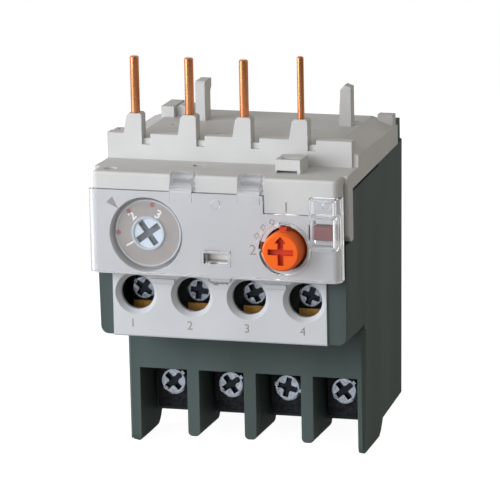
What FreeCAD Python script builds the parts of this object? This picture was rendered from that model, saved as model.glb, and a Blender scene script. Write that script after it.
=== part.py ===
import FreeCAD, Part
import math
import os

# Thermal overload relay that hangs under a 45 mm contactor.
# Modelling frame: X = 0 on the housing's middle plane, +X to the right seen from the front.
# Y = 0 on the front of the terminal panel, +Y to the back. Z = 0 at the tips of the outer skirts.
# The exported frame has its origin at the foot of the middle line pin.

V = FreeCAD.Vector
X_AXIS = V(1, 0, 0)
Y_AXIS = V(0, 1, 0)
Z_AXIS = V(0, 0, 1)

# ---------------------------------------------------------------- clearances
RUN = 0.05              # radial clearance of a pin or shaft that turns
FREE = 0.3              # gap between pieces that pass each other
SEAT = 0.02             # gap of a piece dropped into its slot
CONTACT_GAP = 0.06      # electrical contacts, closed
COVER_GAP = 0.2         # clear cover to the face behind it

# ---------------------------------------------------------------- overall
WIDTH = 45.0            # module width, over the snap arms and the clear cover
DEPTH = 38.5            # terminal panel front to housing back
HALF = WIDTH / 2
HOUSING_INSET = 0.2
HOUSING_DRAFT = 0.7
COVER_INSET = 0.1
COVER_LIP = 0.5

# ---------------------------------------------------------------- base housing
TOP_HALF = HALF - HOUSING_INSET
FOOT_HALF = TOP_HALF - HOUSING_DRAFT
HOUSING_BACK = DEPTH
STRIP_FRONT = 0.3       # front of the two strips beside the terminal panel
HOUSING_TOP_FRONT = 49.0
HOUSING_TOP_SLOPE = 2.0
HOUSING_TOP_BACK = HOUSING_TOP_FRONT + HOUSING_TOP_SLOPE
BACK_BLOCK = 4.3        # housing's solid back, behind the top cover
BACK_FOOT = 5.0
SHELF_UNDERSIDE = 22.5
SHELF_ROOM = 1.8        # from the shelf to the auxiliary clamps above it
WALL = 1.6
EDGE_ROUND = 1.4

MAIN_SCREW_Z = 9.9
CLAMP_HEIGHT = 7.0      # square steel clamp under the main screw
CLAMP_ROOM = 0.2        # above the clamp
BAY_FRONT = 12.0
BAY_TOP = MAIN_SCREW_Z + CLAMP_HEIGHT / 2 + CLAMP_ROOM
BAY_DEPTH = 9.3         # from the fin fronts to the terminal seat
BAY_FLOOR = 2.0         # moulding between the bays and the chamber above
FIN_SHIFT = 0.3
FIN = 2.2
FIN_FOOT = 1.6
FIN_TIP_ROUND = 0.8
FIN_BACK_RUN = 3.2
SKIRT_LEFT = 2.6
SKIRT_RIGHT = 1.1
SKIRT_INNER_LEFT = SKIRT_LEFT - FOOT_HALF
SKIRT_INNER_RIGHT = FOOT_HALF - SKIRT_RIGHT
FIN_MIDDLE = (SKIRT_INNER_LEFT + SKIRT_INNER_RIGHT) / 2 + FIN_SHIFT
FIN_PITCH = (SKIRT_INNER_RIGHT - SKIRT_INNER_LEFT + 1.9) / 4
SEAT_FOOT = 3.7

CHAMBER_SIDE_WALL = 1.9
CHAMBER_HALF = TOP_HALF - CHAMBER_SIDE_WALL
PARTITION_FRONT = 12.8
PARTITION = 1.4
BARRIER = 1.2           # walls between the poles

# ---------------------------------------------------------------- setting face, between ledge and terminal panel
LEDGE_RISE = 3.0        # ledge above the housing's front edge
LEDGE_TOP = HOUSING_TOP_FRONT + LEDGE_RISE
FACE_HEIGHT = 17.8
FACE_FOOT = LEDGE_TOP - FACE_HEIGHT

# ---------------------------------------------------------------- terminal panel
PANEL_MARGIN_LEFT = 2.7
PANEL_MARGIN_RIGHT = 3.7
PANEL_LEFT = PANEL_MARGIN_LEFT - TOP_HALF
PANEL_RIGHT = TOP_HALF - PANEL_MARGIN_RIGHT
PANEL_FOOT = SHELF_UNDERSIDE - 0.2
PANEL = 1.6
HOLE_MARGIN_LEFT = 4.2
HOLE_MARGIN_RIGHT = 4.0
HOLE_FIRST = PANEL_LEFT + HOLE_MARGIN_LEFT
HOLE_PITCH = (PANEL_RIGHT - HOLE_MARGIN_RIGHT - HOLE_FIRST) / 3
HOLE_DROP = 4.2         # hole axis below the panel's top edge
HOLE_HEIGHT = FACE_FOOT - HOLE_DROP
HOLE_RADIUS = 3.0
FUNNEL_RADIUS = 3.75
FUNNEL_DEPTH = 0.9
RIB_PROUD = 0.3         # two ribs between the funnel holes
RIB_HEIGHT = 0.8
RIB_FOOT = HOLE_HEIGHT + 2.0

# ---------------------------------------------------------------- top cover
FACE_FRONT = -3.5
FACE_HALF = HALF - COVER_LIP - COVER_GAP
FACE_WALL = 1.4
FACE_LIP = 1.2
LEDGE = 1.4
COVER_SIDE_HALF = HALF - COVER_INSET
WALL_FRONT = 7.5
FRONT_WALL = 2.2
FRONT_WALL_RIGHT = COVER_SIDE_HALF - 1.0
SHOULDER = LEDGE_TOP + 2.1
PLATE_TOP = SHOULDER + 1.5
WALL_TOP = PLATE_TOP + 0.9
PLATE = 1.5
PLATE_HALF = COVER_SIDE_HALF - 4.5
PLATE_BACK = HOUSING_BACK - BACK_BLOCK
SKIRT = 1.3

BOSS_TOP = WALL_TOP + 3.5
BOSS_HALF = 1.4
BOSS_TAPER = 0.5
NOTCH_WIDTH = 1.5
NOTCH_FLOOR = WALL_TOP - 1.9

ARM_THICK = 1.4
ARM_OUTER = HALF
ARM_INNER = ARM_OUTER - ARM_THICK
ARM_FRONT = STRIP_FRONT + 0.45
ARM_BACK = 3.7
ARM_LENGTH = 8.6        # below the housing's top edge
ARM_FOOT = HOUSING_TOP_FRONT - ARM_LENGTH
ARM_CHAMFER = 1.3

TAB_FRONT = PLATE_BACK - 9.9
TAB_HEIGHT = 7.3
HOOK_LEFT = 6.3 - PLATE_HALF
HOOK_WIDTH = 1.8
HOOK_DEPTH = 3.2
HOOK_TOP = PLATE_TOP + TAB_HEIGHT
HOOK_DROP = 0.3         # hook tab below the tall one
HOOK_LIP = 0.7
TALL_TAB_LEFT = PLATE_HALF - 3.1
TALL_TAB_DEPTH = 2.1
TALL_TAB_WIDTH = 1.9

# ---------------------------------------------------------------- pins
PIN_RADIUS = 0.8
CONTROL_PIN_RADIUS = 0.6
PIN_MIDDLE = -7.7
PIN_PITCH = 9.8
CONTROL_PIN_STEP = 10.1
PIN_LENGTH = 9.9
CONTROL_PIN_LENGTH = 10.8
PIN_TIP = BOSS_TOP + PIN_LENGTH
CONTROL_PIN_TIP = BOSS_TOP + CONTROL_PIN_LENGTH
PIN_AXIS = WALL_FRONT + FRONT_WALL / 2
PIN_CHAMFER = 0.2
LEAD = 1.3              # square lead inside the boss
LEAD_TURN = LEDGE_TOP - LEDGE - 1.7     # height at which the leads turn back
LEAD_DROP = 6.9

# ---------------------------------------------------------------- setting dial
DIAL_X = 9.7 - FACE_HALF
DIAL_Z = FACE_FOOT + 7.15
DIAL_RADIUS = 5.85
DIAL_THICK = 1.3
DIAL_WELL_RADIUS = DIAL_RADIUS + 0.65
DIAL_WELL_DEPTH = 2.8
DIAL_WELL_WALL = 1.0
DIAL_WELL_FLOOR = 0.6
SPINDLE_RADIUS = 1.6
DIAL_SLOT_LENGTH = 4.8
DIAL_SLOT_WIDTH = 1.1
DIAL_SLOT_DEPTH = 1.0
DIAL_SLOT_TURN = -35.5
SCREW_FACE_RADIUS = 2.95
SCREW_RIM = 0.35
SCREW_RIM_PROUD = 0.25
CAM_RADIUS = 2.6
CAM_OFFSET = 0.5
CAM_THICK = 1.6

# ---------------------------------------------------------------- reset knob
KNOB_X = FACE_HALF - 9.2
KNOB_Z = FACE_FOOT + 5.8
KNOB_RADIUS = 3.35
KNOB_FACE_RADIUS = 3.0
KNOB_CHAMFER = 0.5
KNOB_GAP = 0.4
KNOB_PROUD = 3.3
KNOB_FRONT = FACE_FRONT - KNOB_PROUD
KNOB_SKIRT = 2.3
KNOB_BACK = FACE_FRONT + KNOB_SKIRT
KNOB_CORE = 2.4         # solid front of the knob, ahead of the plunger's bore
KNOB_RECESS = 1.0
PRESS_TRAVEL = 2.0
POINTER_WIDTH = 1.3
POINTER_REACH = KNOB_RADIUS + 0.65
POINTER_FRONT = FACE_FRONT - 1.5
POINTER_BACK = FACE_FRONT - FREE
DETENT_WIDTH = POINTER_WIDTH + 2 * FREE
DETENT_REACH = POINTER_REACH + 0.45
WELL_DEPTH = 6.0
WELL_BACK = FACE_FRONT + WELL_DEPTH
WELL_WALL = 0.9
PLUNGER_RADIUS = 1.5
PLUNGER_BACK = WELL_BACK + 2.1
SPRING_WIRE = 0.2
SPRING_TURNS = 3

# ---------------------------------------------------------------- test button
BUTTON_X = FACE_HALF - 2.15
BUTTON_Z = FACE_FOOT + 9.0
BUTTON_WIDTH = 3.2
BUTTON_HEIGHT = 2.4
BUTTON_SIDE_GAP = 0.15
BUTTON_FRONT = FACE_FRONT - 1.5
BUTTON_TRAVEL = 1.2
BUTTON_FLANGE = 0.6
BUTTON_FLANGE_BACK = STRIP_FRONT + BUTTON_FLANGE
BUTTON_SPRING_LENGTH = 3.3
BUTTON_SPRING_BACK = BUTTON_FLANGE_BACK + BUTTON_SPRING_LENGTH
BUTTON_STEM_X = BUTTON_X - 0.85
BUTTON_STEM_RADIUS = 0.6

# ---------------------------------------------------------------- strap bracket on the ledge
BRACKET_LEFT = KNOB_X - 2.9
BRACKET_WIDTH = 4.4
BRACKET_FRONT = 1.0
BRACKET_DEPTH = 4.6
BRACKET_TOP = LEDGE_TOP + 2.35
BRACKET_SLOT_WIDTH = 3.0
BRACKET_SLOT_DEPTH = 1.4

# ---------------------------------------------------------------- clear cover
COVER_WALL = 1.0
COVER_BACK = FACE_FRONT - COVER_GAP
COVER_FRONT = COVER_BACK - COVER_WALL
COVER_LEFT = -FACE_HALF - 0.25
COVER_RIGHT = HALF
COVER_FOOT = FACE_FOOT + 0.5
COVER_LIP_BACK = FACE_FRONT + 1.0
HINGE_Y = FACE_FRONT + 0.6
HINGE_Z = LEDGE_TOP - 1.0
COVER_TOP = HINGE_Z - 1.85
KNUCKLE_RADIUS = 1.45
KNUCKLE_PIN_RADIUS = 0.4
KNUCKLE_PIN_LENGTH = 0.9
KNUCKLE_WIDTH = 3.9
STRAP_PROUD = 0.45      # hinge strap in front of the cover
STRAP_RUN = 1.5         # hinge strap below the cover's top edge
KNUCKLE_LEFTS = (-7.4, 4.6)
CUTOUT_LEFT = KNOB_X - 3.6
CUTOUT_DEPTH = 3.1
CUTOUT_FOOT = COVER_TOP - CUTOUT_DEPTH
KNOB_HOLE_RADIUS = POINTER_REACH + 0.4
KNOB_COLLAR = 0.5
WINDOW_X = 0.6
WINDOW_Z = FACE_FOOT + 3.8
WINDOW_WIDTH = 4.3
WINDOW_HEIGHT = 1.9
WINDOW_RIM = 0.45
GUARD_WALL = 0.5
GUARD_WIDTH = 4.7
GUARD_LEFT = BUTTON_X - 2.1
GUARD_HEIGHT = 5.8
GUARD_FOOT = BUTTON_Z - 2.7
GUARD_FRONT = COVER_FRONT - 2.0
CUTOUT_RIGHT = GUARD_LEFT - 0.4
TRAY_PROUD = 0.8        # raised tray above the guard, for a label
LATCH_X = 1.0
LATCH_WIDTH = 4.0
LATCH_FOOT = COVER_FOOT - 1.6

# ---------------------------------------------------------------- main and auxiliary terminals
PLATE_MARGIN = 0.3      # load terminal plate to the bay's wall
PLATE_THICK = 1.0
CLAMP_MARGIN = 0.2
CLAMP_THICK = 0.9
MAIN_HEAD_RADIUS = 2.45
MAIN_HEAD = 1.8
MAIN_SHANK_RADIUS = 1.6
MAIN_SHANK = 5.8
AUX_PLATE_WIDTH = 5.4
AUX_PLATE_THICK = 1.0
AUX_CLAMP = 5.2
AUX_CLAMP_THICK = 0.7
AUX_HEAD_FRONT = PANEL + 2.7
AUX_HEAD_RADIUS = 2.2
AUX_HEAD = 1.5
AUX_SHANK_RADIUS = 1.4
AUX_SHANK = 4.5
EAR_TOP = HOLE_HEIGHT + 7.2
EAR_THICK = 1.0
EAR_DEPTH = 3.2
RIVET_RADIUS = 0.9
RIVET = 0.5
DRIVE_WIDTH = 1.0       # arms of the cross recess
DRIVE_DEPTH = 1.0
DRIVE_CORE_RADIUS = 0.85
DRIVE_SLOT_WIDTH = 0.7  # shallow slot across the head
DRIVE_SLOT_DEPTH = 0.4
MAIN_DRIVE_TURNS = (-43, -35, 14, -39)
AUX_DRIVE_TURNS = (35, 7, -25, 20)

# ---------------------------------------------------------------- trip mechanism
SLIDER_FOOT = HOUSING_TOP_FRONT - 5.0
SLIDER_THICK = 1.0
SLIDER_GAP = 0.2
SLIDER_FLOAT = 0.1      # above the walls between the poles
SLIDER_TRAVEL = 1.5
LEVER_X = CHAMBER_HALF - 4.0
LEVER_Y = PARTITION_FRONT + 2.1
LEVER_HUB = 1.7
LEVER_PIN_RADIUS = 0.7
LEVER_PIN_DEPTH = 4.0
LEVER_REACH = 9.5       # pivot to the pad that the slider pushes
LEVER_PAD = 1.0
LEVER_SHORT_ARM = 2.4
SLIDER_LEFT = 0.8 - CHAMBER_HALF
SLIDER_RIGHT = LEVER_X - 2.9
FINGER_RIGHT = SLIDER_RIGHT - FREE
FINGER = 1.0
ROCKER_Z = HOUSING_TOP_FRONT - 0.6
ROCKER_THICK = 1.8
ROCKER_TURN = 6.0       # degrees from run to tripped
ROCKER_PIN_RADIUS = 0.8
ROCKER_HUB = 1.9
ROCKER_ARM = 1.6
ROCKER_STEM = 2.4
BRIDGE_THICK = 0.8
BRIDGE_OVERHANG = 1.2
FLAG_RADIUS = 2.0
FLAG_MARGIN = 1.6
COMPENSATOR_X = 2.4 - CHAMBER_HALF
COMPENSATOR_Z = DIAL_Z + 5.5
COMPENSATOR_PIN_RADIUS = 0.6
COMPENSATOR_HUB = 1.4
COMPENSATOR_ARM = 1.6
COMPENSATOR_STRIP = 0.6

BIMETAL_THICK = 0.6
BIMETAL_WIDTH = 4.5
BIMETAL_FOOT = BAY_TOP + BAY_FLOOR + 3.4
BIMETAL_PROUD = 1.0     # above the upper slider
HEATER_TURNS = 8
HEATER_PITCH = 2.0
HEATER_FOOT = BIMETAL_FOOT + 5.0
HEATER_RIBBON = 0.9
HEATER_THICK = 0.4
HEATER_GAP = 0.25

# ---------------------------------------------------------------- derived places
BAY_BACK = BAY_FRONT + BAY_DEPTH
FIN_BACK = BAY_BACK + FIN_BACK_RUN
CHAMBER_FRONT = PARTITION_FRONT + PARTITION
CHAMBER_BACK = PLATE_BACK
CHAMBER_FLOOR = BAY_TOP + BAY_FLOOR
SHELF_TOP = HOLE_HEIGHT - AUX_CLAMP / 2 - SHELF_ROOM
FACE_BACK = FACE_FRONT + FACE_WALL
FINS = [FIN_MIDDLE + FIN_PITCH * step for step in (-1, 0, 1)]
BAY_EDGES = ([SKIRT_INNER_LEFT] + [side for fin in FINS for side in (fin - FIN / 2, fin + FIN / 2)]
             + [SKIRT_INNER_RIGHT])
BAYS = [(BAY_EDGES[2 * bay], BAY_EDGES[2 * bay + 1]) for bay in range(4)]
BAY_MIDDLES = [(left + right) / 2 for left, right in BAYS]
PLATE_WIDTH = min(right - left for left, right in BAYS) - 2 * PLATE_MARGIN
CLAMP_WIDTH = PLATE_WIDTH - 2 * CLAMP_MARGIN
PLATE_FRONT_Y = BAY_BACK - PLATE_THICK
CLAMP_FRONT = PLATE_FRONT_Y - CLAMP_THICK
MAIN_HEAD_FRONT = CLAMP_FRONT - MAIN_HEAD
HOLES = [HOLE_FIRST + HOLE_PITCH * step for step in range(4)]
AUX_CLAMP_FRONT = AUX_HEAD_FRONT + AUX_HEAD
AUX_PLATE_FRONT = AUX_CLAMP_FRONT + AUX_CLAMP_THICK
PINS = [PIN_MIDDLE + PIN_PITCH * step for step in (-1, 0, 1)]
CONTROL_PIN = PINS[2] + CONTROL_PIN_STEP
SLIDER_LEVELS = [SLIDER_FOOT, SLIDER_FOOT + SLIDER_THICK + SLIDER_GAP]
SLIDER_TOP = SLIDER_LEVELS[1] + SLIDER_THICK
BARRIER_TOP = SLIDER_FOOT - SLIDER_FLOAT
PARTITION_TOP = SLIDER_FOOT - 3.0
BRIDGE_FOOT = EAR_TOP + RIVET + CONTACT_GAP
CROSSBAR_FOOT = BRIDGE_FOOT + BRIDGE_THICK
BIMETAL_FRONT = BAY_BACK + 0.2
BIMETAL_BACK = BIMETAL_FRONT + BIMETAL_WIDTH
BIMETAL_TIP = SLIDER_TOP + BIMETAL_PROUD
SLIDER_FRONT = BIMETAL_FRONT - 4.0
SLIDER_BACK = BIMETAL_BACK + 3.5
LEAD_BACK = CHAMBER_BACK - 1.8
LEAD_END = LEAD_TURN - LEAD_DROP
CAM_FRONT = FACE_BACK - FACE_WALL + 0.5 + DIAL_WELL_DEPTH + DIAL_WELL_FLOOR + FREE / 2
CAM_BACK = CAM_FRONT + CAM_THICK
COMPENSATOR_FOOT = DIAL_Z + CAM_RADIUS + FREE
ROCKER_X = (HOLES[1] + HOLES[2]) / 2
ROCKER_FRONT = AUX_PLATE_FRONT + 0.8
ROCKER_BACK = ROCKER_FRONT + ROCKER_THICK
COMPENSATOR_END = ROCKER_X - 2.6
BUTTON_FOOT_BACK = LEVER_Y - LEVER_SHORT_ARM - 2.1
KNUCKLES = [(left, KNUCKLE_WIDTH) for left in KNUCKLE_LEFTS]
ORIGIN = V(PIN_MIDDLE, PIN_AXIS, BOSS_TOP)


# ---------------------------------------------------------------- shaping helpers
def box(x, y, z):
    """Box from (low, high) pairs."""
    return Part.makeBox(x[1] - x[0], y[1] - y[0], z[1] - z[0], V(x[0], y[0], z[0]))


def rod(radius, foot, axis, length):
    return Part.makeCylinder(radius, length, V(*foot), axis)


def cone(radius, end_radius, foot, axis, length):
    return Part.makeCone(radius, end_radius, length, V(*foot), axis)


def slab(points, low, high, axis):
    """Polygon given in the plane square to axis, extruded from low to high along it."""
    places = {
        "x": lambda a, b: V(low, a, b),
        "y": lambda a, b: V(a, low, b),
        "z": lambda a, b: V(a, b, low),
    }
    corners = [places[axis](a, b) for a, b in points]
    face = Part.Face(Part.makePolygon(corners + corners[:1]))
    run = {"x": X_AXIS, "y": Y_AXIS, "z": Z_AXIS}[axis] * (high - low)
    return face.extrude(run)


def fuse(first, *others):
    return first.multiFuse(list(others)).removeSplitter()


def cut(body, *tools):
    return body.cut(list(tools)).removeSplitter()


def edges_at(shape, direction, spots):
    """Straight edges along direction whose middle lies near one of the spots (None = any)."""
    found = []
    for edge in shape.Edges:
        if edge.Curve.TypeId != "Part::GeomLine":
            continue
        run = edge.Vertexes[-1].Point - edge.Vertexes[0].Point
        if abs(run.normalize().dot(direction)) < 0.99:
            continue
        middle = edge.CenterOfMass
        for spot in spots:
            if all(want is None or abs(want - have) < 0.4 for want, have in zip(spot, middle)):
                found.append(edge)
                break
    return found


def round_edges(shape, radius, direction, spots):
    return shape.makeFillet(radius, edges_at(shape, direction, spots))


def turned(shape, centre, axis, degrees):
    copy = shape.copy()
    copy.rotate(V(*centre), axis, degrees)
    return copy


def cross_slot(centre, length, width, depth, degrees):
    """Tool for a cross recess cut into a face that looks towards -Y."""
    x, y, z = centre
    bar = box((x - length / 2, x + length / 2), (y - 1, y + depth), (z - width / 2, z + width / 2))
    other = turned(bar, centre, Y_AXIS, 90)
    return turned(bar.fuse(other), centre, Y_AXIS, degrees)


def tip_corner(x, foot, inwards, radius):
    """Tool that rounds a fin's lower corner at x; inwards is +1 or -1 along X."""
    ends = sorted((x - inwards * 0.6, x + inwards * radius))
    corner = box(ends, (BAY_FRONT - 1, FIN_BACK + 1), (foot - 1, foot + radius))
    centre = (x + inwards * radius, BAY_FRONT - 2, foot + radius)
    return corner.cut(rod(radius, centre, Y_AXIS, FIN_BACK - BAY_FRONT + 4))


# ---------------------------------------------------------------- housing
def housing_rise(y):
    """Height of the housing's sloping top edge at depth y."""
    slope = (HOUSING_TOP_BACK - HOUSING_TOP_FRONT) / (HOUSING_BACK - STRIP_FRONT)
    return HOUSING_TOP_FRONT + slope * (y - STRIP_FRONT)


def housing_blank():
    front_view = slab(
        [(-FOOT_HALF, 0), (FOOT_HALF, 0), (TOP_HALF, HOUSING_TOP_BACK), (-HALF, HOUSING_TOP_BACK)],
        STRIP_FRONT, HOUSING_BACK, "y")
    side_view = slab(
        [(STRIP_FRONT, SHELF_UNDERSIDE), (BAY_FRONT, SHELF_UNDERSIDE), (BAY_FRONT, 1.3),
         (BAY_FRONT + 0.3, 0.4), (BAY_FRONT + 1.1, 0), (BAY_FRONT + 2.6, 0.3), (BAY_BACK + 0.7, 0.7),
         (BAY_BACK + 1.9, 1.6), (FIN_BACK, SEAT_FOOT - 0.2), (HOUSING_BACK, BACK_FOOT),
         (HOUSING_BACK, HOUSING_TOP_BACK), (STRIP_FRONT, HOUSING_TOP_FRONT)],
        -TOP_HALF - 1, TOP_HALF + 1, "x")
    blank = front_view.common(side_view)
    half = FOOT_HALF + (TOP_HALF - FOOT_HALF) * SHELF_UNDERSIDE / HOUSING_TOP_BACK
    blank = round_edges(blank, EDGE_ROUND, Y_AXIS,
                        [(-half, None, SHELF_UNDERSIDE), (half, None, SHELF_UNDERSIDE)])
    back_middle = (TOP_HALF + FOOT_HALF) / 2
    return round_edges(blank, EDGE_ROUND, Z_AXIS,
                       [(-back_middle, HOUSING_BACK, None), (back_middle, HOUSING_BACK, None)])


def base_housing():
    body = housing_blank()
    above = LEDGE_TOP + WALL
    front_room = box((PANEL_LEFT - SEAT, PANEL_RIGHT + SEAT), (STRIP_FRONT - 1, PARTITION_FRONT),
                     (SHELF_TOP, above))
    panel_room = box((PANEL_LEFT - SEAT, PANEL_RIGHT + SEAT), (STRIP_FRONT - 1, PANEL),
                     (PANEL_FOOT - 1, above))
    chamber = box((-CHAMBER_HALF, CHAMBER_HALF), (CHAMBER_FRONT, CHAMBER_BACK), (CHAMBER_FLOOR, above))
    pass_through = box((-CHAMBER_HALF, PANEL_RIGHT), (PARTITION_FRONT - 1, CHAMBER_FRONT + 1),
                       (PARTITION_TOP, above))
    face_room = box((-CHAMBER_HALF, CHAMBER_HALF), (STRIP_FRONT - 1, PARTITION_FRONT), (FACE_FOOT, above))
    tools = [front_room, panel_room, face_room, chamber, pass_through]
    for left, right in BAYS:
        tools.append(box((left, right), (BAY_FRONT - 1, BAY_BACK), (-1, BAY_TOP)))
        tools.append(box((left, right), (BAY_BACK - 1, FIN_BACK + 0.1), (-1, SEAT_FOOT)))
    for middle in BAY_MIDDLES:
        tools.append(rod(MAIN_SHANK_RADIUS + FREE, (middle, BAY_BACK - 1, MAIN_SCREW_Z), Y_AXIS,
                         MAIN_SHANK + 1.2))
        half = PLATE_WIDTH / 2 + SEAT
        tools.append(box((middle - half, middle + half), (PLATE_FRONT_Y - SEAT, BAY_BACK),
                         (BAY_TOP - 1, CHAMBER_FLOOR + 1)))
    for side, inset, run in ((-1, 0.9, 4.2), (1, 0.3, 2.0)):
        corner = [(side * (FOOT_HALF - inset), BAY_FRONT - 1), (side * (FOOT_HALF - inset), BAY_FRONT),
                  (side * (TOP_HALF + 0.2), BAY_FRONT + run), (side * (TOP_HALF + 1), BAY_FRONT - 1)]
        tools.append(slab(corner, -1, SHELF_UNDERSIDE - 0.01, "z"))
        recess = sorted((side * (ARM_INNER - FREE / 2), side * (TOP_HALF + 1)))
        tools.append(box(recess, (STRIP_FRONT - 1, ARM_BACK + FREE), (ARM_FOOT - FREE, above)))
        groove = sorted((side * (TOP_HALF - 0.6), side * (TOP_HALF + 1)))
        tools.append(slab([(ARM_BACK, housing_rise(ARM_BACK) - 0.6), (BAY_BACK, housing_rise(BAY_BACK) - 0.6),
                           (BAY_BACK, above), (ARM_BACK, above)], groove[0], groove[1], "x"))
    body = cut(body, *tools)
    added = []
    for fin in FINS:
        added.append(box((fin - BARRIER / 2, fin + BARRIER / 2), (CHAMBER_FRONT - 0.5, CHAMBER_BACK + 0.5),
                         (CHAMBER_FLOOR - 0.5, BARRIER_TOP)))
    added.append(box((TOP_HALF - 2.0, TOP_HALF - 0.6), (CHAMBER_BACK + 0.2, HOUSING_BACK - 0.2),
                     (HOUSING_TOP_BACK - 2, SHOULDER + 0.5)))
    added.append(rod(LEVER_HUB, (LEVER_X, LEVER_Y, CHAMBER_FLOOR - 0.5), Z_AXIS,
                     BARRIER_TOP - CHAMBER_FLOOR + 0.5))
    body = fuse(body, *added)
    lever_bore = rod(LEVER_PIN_RADIUS, (LEVER_X, LEVER_Y, SLIDER_FOOT - LEVER_PIN_DEPTH), Z_AXIS,
                     LEVER_PIN_DEPTH + 1)
    trims = [box((fin - FIN, fin + FIN), (BAY_FRONT - 1, FIN_BACK + 1), (-1, FIN_FOOT)) for fin in FINS]
    tips = [(fin - FIN / 2, fin + FIN / 2, FIN_FOOT, FIN_TIP_ROUND) for fin in FINS]
    tips.append((0.9 - FOOT_HALF, SKIRT_INNER_LEFT, 0.2, FIN_TIP_ROUND - 0.2))
    tips.append((SKIRT_INNER_RIGHT, FOOT_HALF, 0, 0.4))
    for left, right, foot, radius in tips:
        trims.append(tip_corner(left, foot, 1, radius))
        trims.append(tip_corner(right, foot, -1, radius))
    return cut(body, lever_bore, *trims)


def terminal_panel():
    plate = box((PANEL_LEFT, PANEL_RIGHT), (0, PANEL), (PANEL_FOOT, FACE_FOOT))
    plate = round_edges(plate, 0.4, X_AXIS, [(None, 0, PANEL_FOOT)])
    bores = [rod(HOLE_RADIUS, (x, -1, HOLE_HEIGHT), Y_AXIS, PANEL + 2) for x in HOLES]
    funnels = [cone(FUNNEL_RADIUS, HOLE_RADIUS, (x, 0, HOLE_HEIGHT), Y_AXIS, FUNNEL_DEPTH) for x in HOLES]
    ribs = [box((x + HOLE_PITCH / 2 - 2, x + HOLE_PITCH / 2 + 2), (-RIB_PROUD, 0.5),
                (RIB_FOOT, RIB_FOOT + RIB_HEIGHT)) for x in (HOLES[0], HOLES[2])]
    return cut(fuse(plate, *ribs), *bores, *funnels)


# ---------------------------------------------------------------- top cover
def setting_face():
    face = box((-FACE_HALF, FACE_HALF), (FACE_FRONT, FACE_BACK), (FACE_FOOT, LEDGE_TOP))
    ledge = box((-FACE_HALF, FACE_HALF), (FACE_FRONT, WALL_FRONT + 1), (LEDGE_TOP - LEDGE, LEDGE_TOP))
    side_ledge = box((-COVER_SIDE_HALF, COVER_SIDE_HALF), (ARM_FRONT, WALL_FRONT + 1),
                     (LEDGE_TOP - LEDGE, LEDGE_TOP))
    cheeks = [box(sorted((side * (FACE_HALF - FACE_LIP), side * FACE_HALF)), (FACE_FRONT, STRIP_FRONT),
                  (FACE_FOOT, LEDGE_TOP)) for side in (-1, 1)]
    lip = box((-FACE_HALF, FACE_HALF), (FACE_FRONT, STRIP_FRONT), (FACE_FOOT, FACE_FOOT + FACE_LIP))
    tongue = box((PANEL_LEFT, PANEL_RIGHT), (STRIP_FRONT - 0.5, PANEL), (FACE_FOOT, FACE_FOOT + FACE_LIP))
    block = fuse(face, ledge, side_ledge, lip, tongue, *cheeks)
    block = round_edges(block, 1.0, Z_AXIS, [(-FACE_HALF, FACE_FRONT, None), (FACE_HALF, FACE_FRONT, None)])
    return round_edges(block, 0.5, X_AXIS, [(None, FACE_FRONT, LEDGE_TOP)])


def dial_boss():
    radius = DIAL_WELL_RADIUS + DIAL_WELL_WALL
    boss = rod(radius, (DIAL_X, FACE_FRONT + 0.5, DIAL_Z), Y_AXIS, DIAL_WELL_DEPTH + DIAL_WELL_FLOOR)
    above_panel = box((DIAL_X - radius, DIAL_X + radius), (FACE_FRONT, PANEL), (FACE_FOOT, LEDGE_TOP))
    return boss.common(above_panel)


def knob_well():
    radius = KNOB_RADIUS + KNOB_GAP + WELL_WALL
    return rod(radius, (KNOB_X, FACE_FRONT + 0.5, KNOB_Z), Y_AXIS, WELL_BACK + WELL_WALL - FACE_FRONT - 0.5)


def button_guide():
    half_width = BUTTON_WIDTH / 2 + BUTTON_SIDE_GAP
    half_height = BUTTON_HEIGHT / 2 + BUTTON_SIDE_GAP
    outer = box((BUTTON_X - half_width - 0.3, FACE_HALF), (FACE_FRONT + 0.5, 0),
                (BUTTON_Z - half_height - 0.8, BUTTON_Z + half_height + 0.8))
    stop = box((BUTTON_STEM_X - 1.6, CHAMBER_HALF - SEAT), (BUTTON_SPRING_BACK, BUTTON_SPRING_BACK + 0.8),
               (BUTTON_Z - 1.6, LEDGE_TOP - 1))
    return outer, stop


def front_wall():
    """Upright wall with a tapered boss and a notch for each pin."""
    low, high = -COVER_SIDE_HALF, FRONT_WALL_RIGHT
    points = [(low, LEDGE_TOP - LEDGE), (low, WALL_TOP)]
    for pin in PINS + [CONTROL_PIN]:
        points += [(pin - BOSS_HALF - BOSS_TAPER, WALL_TOP), (pin - BOSS_HALF, BOSS_TOP - 0.5),
                   (pin - BOSS_HALF + 0.5, BOSS_TOP), (pin + BOSS_HALF - 0.3, BOSS_TOP),
                   (pin + BOSS_HALF, BOSS_TOP - 0.3), (pin + BOSS_HALF, NOTCH_FLOOR),
                   (pin + BOSS_HALF + NOTCH_WIDTH, NOTCH_FLOOR), (pin + BOSS_HALF + NOTCH_WIDTH, WALL_TOP)]
    points += [(high, WALL_TOP), (high, LEDGE_TOP - LEDGE)]
    return slab(points, WALL_FRONT, WALL_FRONT + FRONT_WALL, "y")


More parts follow.
